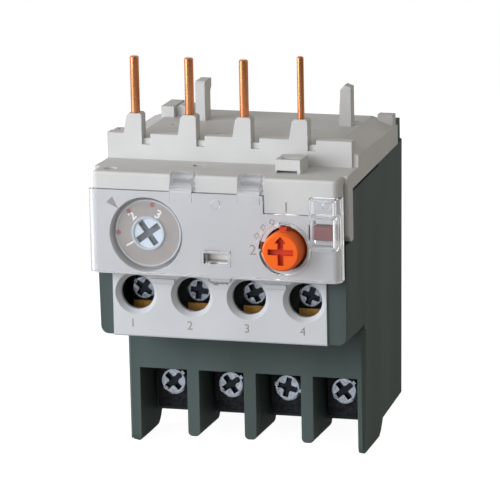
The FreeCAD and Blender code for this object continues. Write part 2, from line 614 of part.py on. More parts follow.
def top_plate():
    """Plate with sloping shoulders and side and back skirts that sit on the housing."""
    outer = [(-COVER_SIDE_HALF, HOUSING_TOP_FRONT - 2), (-COVER_SIDE_HALF, SHOULDER),
             (-PLATE_HALF, PLATE_TOP), (PLATE_HALF, PLATE_TOP), (COVER_SIDE_HALF, SHOULDER),
             (COVER_SIDE_HALF, HOUSING_TOP_FRONT - 2)]
    inner_half = COVER_SIDE_HALF - SKIRT
    inner = [(-inner_half, HOUSING_TOP_FRONT - 3), (-inner_half, SHOULDER - SKIRT),
             (-PLATE_HALF, PLATE_TOP - PLATE), (PLATE_HALF, PLATE_TOP - PLATE),
             (inner_half, SHOULDER - SKIRT), (inner_half, HOUSING_TOP_FRONT - 3)]
    start = WALL_FRONT + 0.5
    shell = slab(outer, start, PLATE_BACK, "y").cut(slab(inner, start - 1, PLATE_BACK - SKIRT, "y"))
    deep = HOUSING_TOP_FRONT - ARM_LENGTH
    below = slab([(FACE_FRONT, housing_rise(FACE_FRONT)), (HOUSING_BACK, housing_rise(HOUSING_BACK)),
                  (HOUSING_BACK, deep), (FACE_FRONT, deep)], -WIDTH, WIDTH, "x")
    shell = shell.cut(below)
    side_front = [box(sorted((side * (COVER_SIDE_HALF - SKIRT), side * COVER_SIDE_HALF)),
                      (ARM_BACK + FREE, start + 0.5), (deep, LEDGE_TOP)).cut(below) for side in (-1, 1)]
    return [shell] + side_front


def snap_arm(side):
    points = [(ARM_FRONT, LEDGE_TOP), (ARM_FRONT, ARM_FOOT + ARM_CHAMFER),
              (ARM_FRONT + ARM_CHAMFER, ARM_FOOT), (ARM_BACK - 0.3, ARM_FOOT), (ARM_BACK, ARM_FOOT + 0.3),
              (ARM_BACK, LEDGE_TOP)]
    low, high = sorted((side * ARM_INNER, side * ARM_OUTER))
    return slab(points, low, high, "x")


def strap_bracket():
    right = BRACKET_LEFT + BRACKET_WIDTH
    back = BRACKET_FRONT + BRACKET_DEPTH
    loop = box((BRACKET_LEFT, right), (BRACKET_FRONT, back), (LEDGE_TOP - LEDGE, BRACKET_TOP))
    middle = (BRACKET_LEFT + right) / 2
    slot = box((middle - BRACKET_SLOT_WIDTH / 2, middle + BRACKET_SLOT_WIDTH / 2),
               (BRACKET_FRONT + 0.8, BRACKET_FRONT + 0.8 + BRACKET_SLOT_DEPTH),
               (LEDGE_TOP - LEDGE - 1, BRACKET_TOP + 1))
    notch = box((BRACKET_LEFT + 0.2, right - 0.6), (BRACKET_FRONT - 1, BRACKET_FRONT + 2),
                (LEDGE_TOP, LEDGE_TOP + 0.45))
    return loop, slot, notch


def hook_tab():
    back = TAB_FRONT + HOOK_DEPTH
    top = HOOK_TOP - HOOK_DROP
    points = [(TAB_FRONT, PLATE_TOP - 0.5), (TAB_FRONT, top - 0.4), (TAB_FRONT + 0.4, top),
              (back + HOOK_LIP, top), (back + HOOK_LIP, top - 1.4), (back, top - 2.2),
              (back, PLATE_TOP - 0.5)]
    return slab(points, HOOK_LEFT, HOOK_LEFT + HOOK_WIDTH, "x")


def tall_tab():
    middle = TALL_TAB_LEFT + TALL_TAB_WIDTH * 0.4
    right = TALL_TAB_LEFT + TALL_TAB_WIDTH
    points = [(TALL_TAB_LEFT - 0.4, PLATE_TOP - 0.5), (TALL_TAB_LEFT, HOOK_TOP - 0.9), (middle, HOOK_TOP),
              (right, HOOK_TOP - 0.4), (right, PLATE_TOP - 0.5)]
    return slab(points, TAB_FRONT, TAB_FRONT + TALL_TAB_DEPTH, "y")


def corner_blocks():
    """Small blocks at the plate's corners: locating block and round stop, end stop, nub by the front wall."""
    left = box((-PLATE_HALF - 0.7, -PLATE_HALF + 1.7), (PLATE_BACK - 7.8, PLATE_BACK - 1.6),
               (PLATE_TOP - 0.5, PLATE_TOP + 1.9))
    stop_x = -PLATE_HALF + 2.7
    stop_front = PLATE_BACK - 6.6
    stop_radius = 1.7
    stop = rod(stop_radius, (stop_x, stop_front, PLATE_TOP + 0.2), Y_AXIS, 4.6)
    stop = stop.fuse(box((stop_x - stop_radius, stop_x + stop_radius), (stop_front, stop_front + 4.6),
                         (PLATE_TOP - 0.5, PLATE_TOP + 0.2)))
    right = box((COVER_SIDE_HALF - 3.1, COVER_SIDE_HALF - 0.3), (PLATE_BACK - 2.0, PLATE_BACK - 0.2),
                (SHOULDER - 0.8, SHOULDER + 2.2))
    nub = box((-COVER_SIDE_HALF + 0.2, -COVER_SIDE_HALF + 2.2),
              (WALL_FRONT + FRONT_WALL - 0.5, WALL_FRONT + FRONT_WALL + 2.8), (SHOULDER - 0.8, WALL_TOP - 0.1))
    return [left, stop, right, nub]


def top_cover():
    loop, strap_slot, strap_notch = strap_bracket()
    guide, stop = button_guide()
    rocker_boss = rod(ROCKER_PIN_RADIUS + 1.0, (ROCKER_X, FACE_BACK - 0.5, ROCKER_Z), Y_AXIS, 5)
    compensator_boss = rod(COMPENSATOR_PIN_RADIUS + 0.8, (COMPENSATOR_X, FACE_BACK - 0.5, COMPENSATOR_Z),
                           Y_AXIS, 2.6)
    body = fuse(setting_face(), front_wall(), snap_arm(-1), snap_arm(1), loop, hook_tab(), tall_tab(),
                dial_boss(), knob_well(), guide, stop, rocker_boss, compensator_boss,
                *top_plate(), *corner_blocks())
    tools = [strap_slot, strap_notch]
    tools.append(rod(DIAL_WELL_RADIUS, (DIAL_X, FACE_FRONT - 1, DIAL_Z), Y_AXIS, DIAL_WELL_DEPTH + 1))
    tools.append(rod(SPINDLE_RADIUS + RUN, (DIAL_X, FACE_FRONT, DIAL_Z), Y_AXIS, DIAL_WELL_DEPTH + 2))
    tools.append(rod(KNOB_RADIUS + KNOB_GAP, (KNOB_X, FACE_FRONT - 1, KNOB_Z), Y_AXIS,
                     WELL_BACK - FACE_FRONT + 1))
    detent = box((KNOB_X - DETENT_WIDTH / 2, KNOB_X + DETENT_WIDTH / 2), (FACE_FRONT - 1, POINTER_BACK + 2.6),
                 (KNOB_Z, KNOB_Z + DETENT_REACH))
    tools += [detent, turned(detent, (KNOB_X, FACE_FRONT, KNOB_Z), Y_AXIS, -90)]
    tools.append(rod(PLUNGER_RADIUS + RUN, (KNOB_X, FACE_FRONT, KNOB_Z), Y_AXIS, WELL_BACK + WELL_WALL + 5))
    half_width = BUTTON_WIDTH / 2 + BUTTON_SIDE_GAP
    half_height = BUTTON_HEIGHT / 2 + BUTTON_SIDE_GAP
    tools.append(box((BUTTON_X - half_width, BUTTON_X + half_width), (FACE_FRONT - 1, 1),
                     (BUTTON_Z - half_height, BUTTON_Z + half_height)))
    tools.append(rod(BUTTON_STEM_RADIUS + FREE, (BUTTON_STEM_X, BUTTON_SPRING_BACK - 1, BUTTON_Z), Y_AXIS, 3))
    tools.append(box((WINDOW_X - WINDOW_WIDTH / 2, WINDOW_X + WINDOW_WIDTH / 2), (FACE_FRONT - 1, FACE_BACK + 1),
                     (WINDOW_Z - WINDOW_HEIGHT / 2, WINDOW_Z + WINDOW_HEIGHT / 2)))
    tools.append(rod(ROCKER_PIN_RADIUS, (ROCKER_X, FACE_BACK - 0.2, ROCKER_Z), Y_AXIS, 8))
    tools.append(rod(COMPENSATOR_PIN_RADIUS, (COMPENSATOR_X, FACE_BACK - 0.2, COMPENSATOR_Z), Y_AXIS, 8))
    for left, width in KNUCKLES:
        tools.append(rod(KNUCKLE_RADIUS + FREE, (left - FREE, HINGE_Y, HINGE_Z), X_AXIS, width + 2 * FREE))
        tools.append(box((left - FREE, left + width + FREE), (FACE_FRONT - 1, HINGE_Y),
                         (HINGE_Z - KNUCKLE_RADIUS - FREE, HINGE_Z)))
        tools.append(rod(KNUCKLE_PIN_RADIUS + RUN, (left - KNUCKLE_PIN_LENGTH - SEAT, HINGE_Y, HINGE_Z),
                         X_AXIS, width + 2 * (KNUCKLE_PIN_LENGTH + SEAT)))
    half_lead = LEAD / 2 + SEAT
    for pin in PINS + [CONTROL_PIN]:
        tools.append(box((pin - half_lead, pin + half_lead), (PIN_AXIS - half_lead, PIN_AXIS + half_lead),
                         (LEDGE_TOP - LEDGE - 1, BOSS_TOP + 1)))
    for share, step in ((-0.78, 14.1), (-0.23, 20.0), (0.04, 14.2), (0.61, 14.0), (0.91, 5.4)):
        slot_x = share * PLATE_HALF
        slot_y = PLATE_BACK - step
        tools.append(box((slot_x - 0.7, slot_x + 0.7), (slot_y - 0.35, slot_y + 0.35),
                         (PLATE_TOP - PLATE - 1, PLATE_TOP + 1)))
    tools.append(box((DIAL_X + 6.2, DIAL_X + 8.3), (WALL_FRONT - 3.9, WALL_FRONT - 2.5),
                     (LEDGE_TOP - LEDGE - 1, LEDGE_TOP + 1)))
    tools.append(rod(1.1, (2.6 - FACE_HALF, FACE_FRONT + 2.7, LEDGE_TOP - 0.25), Z_AXIS, 2))
    tools.append(rod(0.45, (-COVER_SIDE_HALF + 1.2, WALL_FRONT + FRONT_WALL + 1.6, SHOULDER), Z_AXIS, 5))
    return cut(body, *tools)


# ---------------------------------------------------------------- clear cover
def clear_cover():
    plate = box((COVER_LEFT, COVER_RIGHT), (COVER_FRONT, COVER_BACK), (COVER_FOOT, COVER_TOP))
    side_lip = box((FACE_HALF + COVER_GAP, COVER_RIGHT), (COVER_FRONT, COVER_LIP_BACK), (COVER_FOOT, COVER_TOP))
    shell = fuse(plate, side_lip)
    shell = round_edges(shell, 0.5, Z_AXIS, [(COVER_LEFT, COVER_FRONT, None), (COVER_RIGHT, COVER_FRONT, None)])
    shell = cut(shell, box((CUTOUT_LEFT, CUTOUT_RIGHT), (COVER_FRONT - 1, 0), (CUTOUT_FOOT, COVER_TOP + 1)))
    added = []
    for left, width in KNUCKLES:
        added.append(rod(KNUCKLE_RADIUS, (left, HINGE_Y, HINGE_Z), X_AXIS, width))
        added.append(rod(KNUCKLE_PIN_RADIUS, (left - KNUCKLE_PIN_LENGTH, HINGE_Y, HINGE_Z), X_AXIS,
                         width + 2 * KNUCKLE_PIN_LENGTH))
        front = COVER_FRONT - STRAP_PROUD
        foot = COVER_TOP - STRAP_RUN
        web = [(front, foot), (COVER_BACK, foot), (COVER_BACK, HINGE_Z), (HINGE_Y, HINGE_Z),
               (HINGE_Y, HINGE_Z + KNUCKLE_RADIUS * 0.95), (COVER_FRONT + 0.6, HINGE_Z + 0.7),
               (front, HINGE_Z - 0.7)]
        added.append(slab(web, left, left + width, "x"))
    added.append(rod(KNOB_HOLE_RADIUS + KNOB_COLLAR, (KNOB_X, COVER_FRONT - 0.3, KNOB_Z), Y_AXIS, 1.0))
    half_width = WINDOW_WIDTH / 2 + WINDOW_RIM
    half_height = WINDOW_HEIGHT / 2 + WINDOW_RIM
    added.append(box((WINDOW_X - half_width, WINDOW_X + half_width), (COVER_FRONT - 0.5, COVER_BACK),
                     (WINDOW_Z - half_height, WINDOW_Z + half_height)))
    guard = box((GUARD_LEFT, GUARD_LEFT + GUARD_WIDTH), (GUARD_FRONT, COVER_BACK),
                (GUARD_FOOT, GUARD_FOOT + GUARD_HEIGHT))
    added.append(round_edges(guard, 0.5, Y_AXIS, [(GUARD_LEFT, None, GUARD_FOOT),
                                                  (GUARD_LEFT, None, GUARD_FOOT + GUARD_HEIGHT)]))
    tray_right = COVER_RIGHT - 0.6
    tray_foot = GUARD_FOOT + GUARD_HEIGHT - GUARD_WALL
    added.append(box((CUTOUT_RIGHT, tray_right), (COVER_FRONT - TRAY_PROUD, COVER_BACK), (tray_foot, COVER_TOP)))
    latch = [(COVER_FRONT, COVER_FOOT + 0.5), (COVER_BACK, COVER_FOOT + 0.5), (COVER_BACK, LATCH_FOOT + 0.4),
             (COVER_BACK - 0.4, LATCH_FOOT), (COVER_FRONT, LATCH_FOOT + 0.9)]
    tongue = slab(latch, LATCH_X - LATCH_WIDTH / 2, LATCH_X + LATCH_WIDTH / 2, "x")
    added.append(tongue.common(rod(LATCH_WIDTH / 2 + 0.2, (LATCH_X, COVER_FRONT - 1, LATCH_FOOT + 2.0), Y_AXIS, 3)))
    shell = fuse(shell, *added)
    tools = [rod(KNOB_HOLE_RADIUS, (KNOB_X, COVER_FRONT - 2, KNOB_Z), Y_AXIS, 5)]
    tools.append(box((WINDOW_X - WINDOW_WIDTH / 2, WINDOW_X + WINDOW_WIDTH / 2), (COVER_FRONT - 2, COVER_BACK + 1),
                     (WINDOW_Z - WINDOW_HEIGHT / 2, WINDOW_Z + WINDOW_HEIGHT / 2)))
    tools.append(box((GUARD_LEFT + GUARD_WALL, GUARD_LEFT + GUARD_WIDTH - GUARD_WALL),
                     (GUARD_FRONT + GUARD_WALL, COVER_BACK + 1),
                     (GUARD_FOOT + GUARD_WALL, GUARD_FOOT + GUARD_HEIGHT - GUARD_WALL)))
    tools.append(box((CUTOUT_RIGHT + GUARD_WALL, tray_right - GUARD_WALL),
                     (COVER_FRONT - TRAY_PROUD + GUARD_WALL, COVER_BACK + 1),
                     (tray_foot + GUARD_WALL, COVER_TOP - GUARD_WALL)))
    return cut(shell, *tools)


# ---------------------------------------------------------------- dial and knob
def setting_dial():
    front = FACE_FRONT + DIAL_WELL_DEPTH - DIAL_THICK - COVER_GAP
    disc = rod(DIAL_RADIUS, (DIAL_X, front, DIAL_Z), Y_AXIS, DIAL_THICK)
    rim = rod(SCREW_FACE_RADIUS, (DIAL_X, front - SCREW_RIM_PROUD, DIAL_Z), Y_AXIS, DIAL_THICK)
    spindle = rod(SPINDLE_RADIUS, (DIAL_X, front + 0.5, DIAL_Z), Y_AXIS, CAM_BACK - front)
    dial = fuse(disc, rim, spindle)
    dish = rod(SCREW_FACE_RADIUS - SCREW_RIM, (DIAL_X, front - 1, DIAL_Z), Y_AXIS, 1)
    return cut(dial, dish, cross_slot((DIAL_X, front, DIAL_Z), DIAL_SLOT_LENGTH, DIAL_SLOT_WIDTH,
                                      DIAL_SLOT_DEPTH, DIAL_SLOT_TURN))


def dial_cam():
    disc = rod(CAM_RADIUS, (DIAL_X + CAM_OFFSET, CAM_FRONT, DIAL_Z), Y_AXIS, CAM_THICK)
    return cut(disc, rod(SPINDLE_RADIUS + SEAT, (DIAL_X, CAM_FRONT - 1, DIAL_Z), Y_AXIS, CAM_THICK + 2))


def reset_knob():
    shoulder = KNOB_FRONT + KNOB_CHAMFER
    barrel = rod(KNOB_RADIUS, (KNOB_X, shoulder, KNOB_Z), Y_AXIS, KNOB_BACK - shoulder)
    face = cone(KNOB_FACE_RADIUS, KNOB_RADIUS, (KNOB_X, KNOB_FRONT, KNOB_Z), Y_AXIS, KNOB_CHAMFER)
    pointer = box((KNOB_X - POINTER_WIDTH / 2, KNOB_X + POINTER_WIDTH / 2), (POINTER_FRONT, POINTER_BACK),
                  (KNOB_Z, KNOB_Z + POINTER_REACH))
    knob = fuse(barrel, face, pointer)
    bore = rod(PLUNGER_RADIUS + RUN, (KNOB_X, KNOB_FRONT + KNOB_CORE, KNOB_Z), Y_AXIS, KNOB_PROUD + KNOB_SKIRT)
    arms = cross_slot((KNOB_X, KNOB_FRONT, KNOB_Z), 4.5, 1.0, KNOB_RECESS, 0)
    tip = [(KNOB_X - 1.0, KNOB_Z + 1.6), (KNOB_X + 1.0, KNOB_Z + 1.6), (KNOB_X, KNOB_Z + 2.8)]
    arrow = slab(tip, KNOB_FRONT - 1, KNOB_FRONT + KNOB_RECESS, "y")
    return cut(knob, bore, arms, arrow)


def reset_plunger():
    front = KNOB_FRONT + KNOB_CORE + 2 * RUN
    stem = rod(PLUNGER_RADIUS, (KNOB_X, front, KNOB_Z), Y_AXIS, PLUNGER_BACK - front)
    return round_edges_circle(stem, 0.3)


def round_edges_circle(shape, size):
    """Chamfer on the two rims of a plain rod."""
    rims = [edge for edge in shape.Edges if edge.Curve.TypeId == "Part::GeomCircle"]
    return shape.makeChamfer(size, rims)


def ring_spring(x, z, radius, wire, front, back, turns):
    """Coil drawn as closed rings joined by short slanted steps, axis along Y."""
    pitch = (back - front - 2 * wire) / turns
    coil = None
    for turn in range(turns + 1):
        y = front + wire + pitch * turn
        ring = Part.makeTorus(radius, wire, V(x, y, z), Y_AXIS)
        coil = ring if coil is None else coil.fuse(ring)
        if turn < turns:
            coil = coil.fuse(rod(wire * 0.9, (x, y, z + radius), Y_AXIS, pitch))
    return coil.removeSplitter()


def reset_spring():
    return ring_spring(KNOB_X, KNOB_Z, PLUNGER_RADIUS + RUN + 0.25 + SPRING_WIRE, SPRING_WIRE,
                       KNOB_BACK + SEAT, WELL_BACK - SEAT, SPRING_TURNS)


def test_button():
    """Key, narrower shank with a retaining flange, stem through the spring and a foot at the trip lever."""
    x = (BUTTON_X - BUTTON_WIDTH / 2, BUTTON_X + BUTTON_WIDTH / 2)
    z = (BUTTON_Z - BUTTON_HEIGHT / 2, BUTTON_Z + BUTTON_HEIGHT / 2)
    key = box(x, (BUTTON_FRONT, -BUTTON_TRAVEL - FREE), z)
    key = round_edges(key, 0.3, X_AXIS, [(None, BUTTON_FRONT, z[0]), (None, BUTTON_FRONT, z[1])])
    shank_right = CHAMBER_HALF - FREE
    shank = box((x[0], shank_right), (-BUTTON_TRAVEL - FREE - 0.5, BUTTON_FLANGE_BACK), z)
    flange = box((x[0] - 0.6, shank_right), (BUTTON_FLANGE_BACK - BUTTON_FLANGE, BUTTON_FLANGE_BACK),
                 (z[0] - 0.6, z[1] + 0.6))
    stem = rod(BUTTON_STEM_RADIUS, (BUTTON_STEM_X, BUTTON_FLANGE_BACK - 0.2, BUTTON_Z), Y_AXIS,
               BUTTON_FOOT_BACK - BUTTON_FLANGE_BACK)
    foot = box((LEVER_X - 2.2, BUTTON_STEM_X + 0.6), (BUTTON_FOOT_BACK - 0.9, BUTTON_FOOT_BACK),
               (BUTTON_Z - 0.6, SLIDER_TOP - 0.6))
    return fuse(key, shank, flange, stem, foot)


def button_spring():
    return ring_spring(BUTTON_STEM_X, BUTTON_Z, BUTTON_STEM_RADIUS + 0.4, 0.2, BUTTON_FLANGE_BACK + SEAT,
                       BUTTON_SPRING_BACK - SEAT, 3)


# ---------------------------------------------------------------- current path
def pin_with_lead(x, radius, tip, end_x):
    """Round pin above the boss, square lead inside it that turns back and across to the heater."""
    half = LEAD / 2
    pin = rod(radius, (x, PIN_AXIS, BOSS_TOP), Z_AXIS, tip - BOSS_TOP)
    pin = pin.makeChamfer(PIN_CHAMFER, [edge for edge in pin.Edges
                                if edge.Curve.TypeId == "Part::GeomCircle"
                                and abs(edge.CenterOfMass.z - tip) < SEAT])
    down = box((x - half, x + half), (PIN_AXIS - half, PIN_AXIS + half), (LEAD_TURN, BOSS_TOP))
    back = box((x - half, x + half), (PIN_AXIS - half, LEAD_BACK + half), (LEAD_TURN, LEAD_TURN + LEAD))
    low, high = sorted((x, end_x))
    across = box((low - half, high + half), (LEAD_BACK - half, LEAD_BACK + half), (LEAD_TURN, LEAD_TURN + LEAD))
    drop = box((end_x - half, end_x + half), (LEAD_BACK - half, LEAD_BACK + half), (LEAD_END, LEAD_TURN + LEAD))
    return fuse(pin, down, back, across, drop)


def bimetal(x):
    strip = box((x - BIMETAL_THICK / 2, x + BIMETAL_THICK / 2),
                (BIMETAL_FRONT, BIMETAL_BACK), (BIMETAL_FOOT, BIMETAL_TIP))
    return round_edges(strip, BIMETAL_THICK, X_AXIS, [(None, BIMETAL_FRONT, BIMETAL_TIP),
                                                      (None, BIMETAL_BACK, BIMETAL_TIP)])


def heater(x):
    """Ribbon wound round the bimetal: flat turns, each stepped up to the next at the back."""
    inner_x = BIMETAL_THICK / 2 + HEATER_GAP
    outer_x = inner_x + HEATER_THICK
    inner_front = BIMETAL_FRONT - HEATER_GAP
    inner_back = BIMETAL_BACK + HEATER_GAP
    front = inner_front - HEATER_THICK
    back = inner_back + HEATER_THICK
    bars = []
    for turn in range(HEATER_TURNS):
        z = HEATER_FOOT + HEATER_PITCH * turn
        level = (z, z + HEATER_RIBBON)
        bars.append(box((x - outer_x, x + outer_x), (front, inner_front), level))
        bars.append(box((x - outer_x, x - inner_x), (front, back), level))
        bars.append(box((x + inner_x, x + outer_x), (front, back), level))
        bars.append(box((x - outer_x, x - inner_x + 0.3), (inner_back, back), level))
        bars.append(box((x - outer_x, x - inner_x + 0.3), (inner_back, back),
                        (z, z + HEATER_PITCH + HEATER_RIBBON)))
    top = HEATER_FOOT + HEATER_PITCH * HEATER_TURNS
    bars.append(box((x - outer_x, x + 0.6), (inner_back, back), (top, top + HEATER_RIBBON)))
    bars.append(box((x - 0.6, x + 0.6), (inner_back, LEAD_BACK - LEAD / 2), (top, top + HEATER_RIBBON)))
    bars.append(box((x - 0.6, x + 0.6), (LEAD_BACK - LEAD / 2 - HEATER_THICK, LEAD_BACK - LEAD / 2),
                    (top, LEAD_END + 1.5)))
    return fuse(*bars)


def load_terminal(middle, with_fork):
    half = PLATE_WIDTH / 2
    y = (PLATE_FRONT_Y, BAY_BACK)
    plate = box((middle - half, middle + half), y, (SEAT_FOOT + 0.8, CHAMBER_FLOOR + 1.6))
    stem = box((middle - 2.0, middle + 2.0), y, (CHAMBER_FLOOR + 1, BIMETAL_FOOT + 3.0))
    parts = [stem]
    if with_fork:
        ear_x = (middle + BIMETAL_THICK / 2, middle + BIMETAL_THICK / 2 + 0.8)
        parts.append(box(ear_x, (PLATE_FRONT_Y, BIMETAL_BACK - 0.5),
                         (BIMETAL_FOOT + 0.3, BIMETAL_FOOT + 3.0)))
    else:
        parts.append(box((middle - 1.0, middle + 1.0), y, (CHAMBER_FLOOR + 1, LEAD_END + 0.8)))
        parts.append(box((middle - 1.0, middle + 1.0), (PLATE_FRONT_Y, LEAD_BACK - LEAD / 2),
                         (LEAD_END - 0.2, LEAD_END + 0.8)))
    plate = fuse(plate, *parts)
    return cut(plate, rod(MAIN_SHANK_RADIUS + RUN, (middle, PLATE_FRONT_Y - 1, MAIN_SCREW_Z), Y_AXIS, 4))


def clamp_plate(middle, height, width, tall, front, thick, hole):
    plate = box((middle - width / 2, middle + width / 2), (front, front + thick),
                (height - tall / 2, height + tall / 2))
    return cut(plate, rod(hole, (middle, front - 1, height), Y_AXIS, thick + 2))


def terminal_screw(middle, height, front, head_radius, head, shank_radius, shank, degrees):
    cap = rod(head_radius, (middle, front, height), Y_AXIS, head)
    rim = [edge for edge in cap.Edges if edge.Curve.TypeId == "Part::GeomCircle"
           and abs(edge.CenterOfMass.y - front) < SEAT]
    cap = cap.makeChamfer(0.3, rim)
    screw = fuse(cap, rod(shank_radius, (middle, front + head - 0.2, height), Y_AXIS, shank))
    cross = cross_slot((middle, front, height), head_radius * 1.45, DRIVE_WIDTH, DRIVE_DEPTH, degrees)
    core = rod(DRIVE_CORE_RADIUS, (middle, front - 1, height), Y_AXIS, 1 + DRIVE_DEPTH)
    slot = box((middle - head_radius - 1, middle + head_radius + 1), (front - 1, front + DRIVE_SLOT_DEPTH),
               (height - DRIVE_SLOT_WIDTH / 2, height + DRIVE_SLOT_WIDTH / 2))
    return cut(screw, cross, core, turned(slot, (middle, front, height), Y_AXIS, degrees))


def aux_terminal(x):
    half = AUX_PLATE_WIDTH / 2
    plate = box((x - half, x + half), (AUX_PLATE_FRONT, AUX_PLATE_FRONT + AUX_PLATE_THICK),
                (SHELF_TOP, EAR_TOP))
    ear = box((x - half, x + half), (AUX_PLATE_FRONT, AUX_PLATE_FRONT + EAR_DEPTH), (EAR_TOP - EAR_THICK, EAR_TOP))
    middle = ROCKER_FRONT + ROCKER_THICK / 2
    rivet = rod(RIVET_RADIUS, (x, middle, EAR_TOP - 0.2), Z_AXIS, RIVET + 0.2)
    plate = fuse(plate, ear, rivet)
    return cut(plate, rod(AUX_SHANK_RADIUS + RUN, (x, AUX_PLATE_FRONT - 1, HOLE_HEIGHT), Y_AXIS, 4))


# ---------------------------------------------------------------- trip mechanism
def slider(level):
    plate = box((SLIDER_LEFT, SLIDER_RIGHT), (SLIDER_FRONT, SLIDER_BACK),
                (SLIDER_LEVELS[level], SLIDER_LEVELS[level] + SLIDER_THICK))
    windows = []
    for middle in BAY_MIDDLES[:3]:
        strip_left = middle - BIMETAL_THICK / 2
        strip_right = middle + BIMETAL_THICK / 2
        windows.append(box((strip_left - SLIDER_TRAVEL - FREE, strip_right + FREE),
                           (BIMETAL_FRONT - 0.5, BIMETAL_BACK + 0.5), (SLIDER_FOOT - 1, SLIDER_TOP + 1)))
    return cut(plate, *windows)


def trip_lever():
    """Two-armed lever: the slider pushes its long arm, its short arm pushes the contact rocker."""
    z = (SLIDER_FOOT, SLIDER_TOP)
    pad_y = LEVER_Y + LEVER_REACH
    pad_left = SLIDER_RIGHT + FREE
    hub = rod(LEVER_HUB, (LEVER_X, LEVER_Y, z[0]), Z_AXIS, z[1] - z[0])
    long_arm = slab([(LEVER_X - 1.2, LEVER_Y), (LEVER_X + 1.2, LEVER_Y),
                     (pad_left + 1.4 * LEVER_PAD, pad_y + LEVER_PAD), (pad_left, pad_y + LEVER_PAD),
                     (pad_left, pad_y - LEVER_PAD), (pad_left + 0.6 * LEVER_PAD, pad_y - 1.6 * LEVER_PAD)],
                    z[0], z[1], "z")
    tip_left = FINGER_RIGHT + FREE
    tip_y = LEVER_Y - LEVER_SHORT_ARM
    short_arm = slab([(LEVER_X, LEVER_Y - 1.6), (LEVER_X - 1.0, LEVER_Y + 1.0), (tip_left, tip_y + 0.6),
                      (tip_left, tip_y - 0.6), (LEVER_X - 1, tip_y - 0.4)], z[0], z[1], "z")
    lever = fuse(hub, long_arm, short_arm)
    return cut(lever, rod(LEVER_PIN_RADIUS + RUN, (LEVER_X, LEVER_Y, z[0] - 1), Z_AXIS, SLIDER_TOP))


def lever_pin():
    return rod(LEVER_PIN_RADIUS, (LEVER_X, LEVER_Y, SLIDER_FOOT - LEVER_PIN_DEPTH), Z_AXIS,
               SLIDER_TOP - SLIDER_FOOT + LEVER_PIN_DEPTH + 0.4)


def contact_rocker():
    """Moulded rocker: hub on its pin, a contact arm each side, a finger at the trip lever, an arm to the flag."""
    y = (ROCKER_FRONT, ROCKER_BACK)
    hub = rod(ROCKER_HUB, (ROCKER_X, ROCKER_FRONT, ROCKER_Z), Y_AXIS, ROCKER_THICK)
    stem = box((ROCKER_X - ROCKER_STEM / 2, ROCKER_X + ROCKER_STEM / 2), y, (CROSSBAR_FOOT, ROCKER_Z))
    crossbar = (CROSSBAR_FOOT, CROSSBAR_FOOT + ROCKER_ARM)
    left = box((HOLES[0] - ROCKER_ARM / 2, ROCKER_X), y, crossbar)
    right = box((ROCKER_X, HOLES[3] + ROCKER_ARM / 2), y, crossbar)
    right = turned(right, (ROCKER_X, 0, ROCKER_Z), Y_AXIS, -ROCKER_TURN)
    finger_z = (SLIDER_FOOT + 0.2, SLIDER_TOP - 0.2)
    arm = box((ROCKER_X, FINGER_RIGHT), y, finger_z)
    finger = box((FINGER_RIGHT - FINGER, FINGER_RIGHT), (ROCKER_FRONT, LEVER_Y - LEVER_SHORT_ARM + 0.6), finger_z)
    flag_back = FACE_BACK + FREE + 0.9 * FLAG_RADIUS
    flag_arm = box((ROCKER_X - ROCKER_STEM / 4, ROCKER_X + ROCKER_STEM / 2), (flag_back, ROCKER_FRONT + 0.5),
                   (CROSSBAR_FOOT, CROSSBAR_FOOT + ROCKER_ARM))
    rocker = fuse(hub, stem, left, right, arm, finger, flag_arm)
    return cut(rocker, rod(ROCKER_PIN_RADIUS + RUN, (ROCKER_X, 0, ROCKER_Z), Y_AXIS, DEPTH))


def trip_flag():
    """Curved flag behind the window, on the rocker's forward arm."""
    half = WINDOW_WIDTH / 2 + FLAG_MARGIN
    front = FACE_BACK + FREE
    back = front + 0.9 * FLAG_RADIUS
    drum = rod(FLAG_RADIUS, (WINDOW_X - half, back, WINDOW_Z), X_AXIS, 2 * half)
    keep = box((WINDOW_X - half, WINDOW_X + half), (front, back),
               (WINDOW_Z - FLAG_RADIUS, WINDOW_Z + FLAG_RADIUS))
    return drum.common(keep)


def rocker_pin():
    return rod(ROCKER_PIN_RADIUS, (ROCKER_X, FACE_BACK - 0.2, ROCKER_Z), Y_AXIS,
               ROCKER_BACK + 0.6 - FACE_BACK + 0.2)


def contact_bridge(first, tripped):
    """Bridge across two contact ears; the open pair's bridge lies level only when tripped."""
    bar = box((HOLES[first] - BRIDGE_OVERHANG, HOLES[first + 1] + BRIDGE_OVERHANG),
              (ROCKER_FRONT + 0.1, ROCKER_BACK - 0.1),
              (BRIDGE_FOOT, CROSSBAR_FOOT))
    return turned(bar, (ROCKER_X, 0, ROCKER_Z), Y_AXIS, -ROCKER_TURN if tripped else 0)


def compensator_lever():
    y = (CAM_FRONT, CAM_BACK)
    hub = rod(COMPENSATOR_HUB, (COMPENSATOR_X, y[0], COMPENSATOR_Z), Y_AXIS, CAM_THICK)
    top = COMPENSATOR_FOOT + COMPENSATOR_ARM
    arm = slab([(COMPENSATOR_X, COMPENSATOR_Z - COMPENSATOR_HUB), (DIAL_X - 1.5, COMPENSATOR_FOOT),
                (COMPENSATOR_END, COMPENSATOR_FOOT), (COMPENSATOR_END, top),
                (COMPENSATOR_X, COMPENSATOR_Z + COMPENSATOR_HUB)], y[0], y[1], "y")
    lever = fuse(hub, arm)
    bore = rod(COMPENSATOR_PIN_RADIUS + RUN, (COMPENSATOR_X, y[0] - 1, COMPENSATOR_Z), Y_AXIS, CAM_THICK + 2)
    return cut(lever, bore)


def compensator_pin():
    length = CAM_BACK + 0.4 - FACE_BACK + 0.2
    return rod(COMPENSATOR_PIN_RADIUS, (COMPENSATOR_X, FACE_BACK - 0.2, COMPENSATOR_Z), Y_AXIS, length)


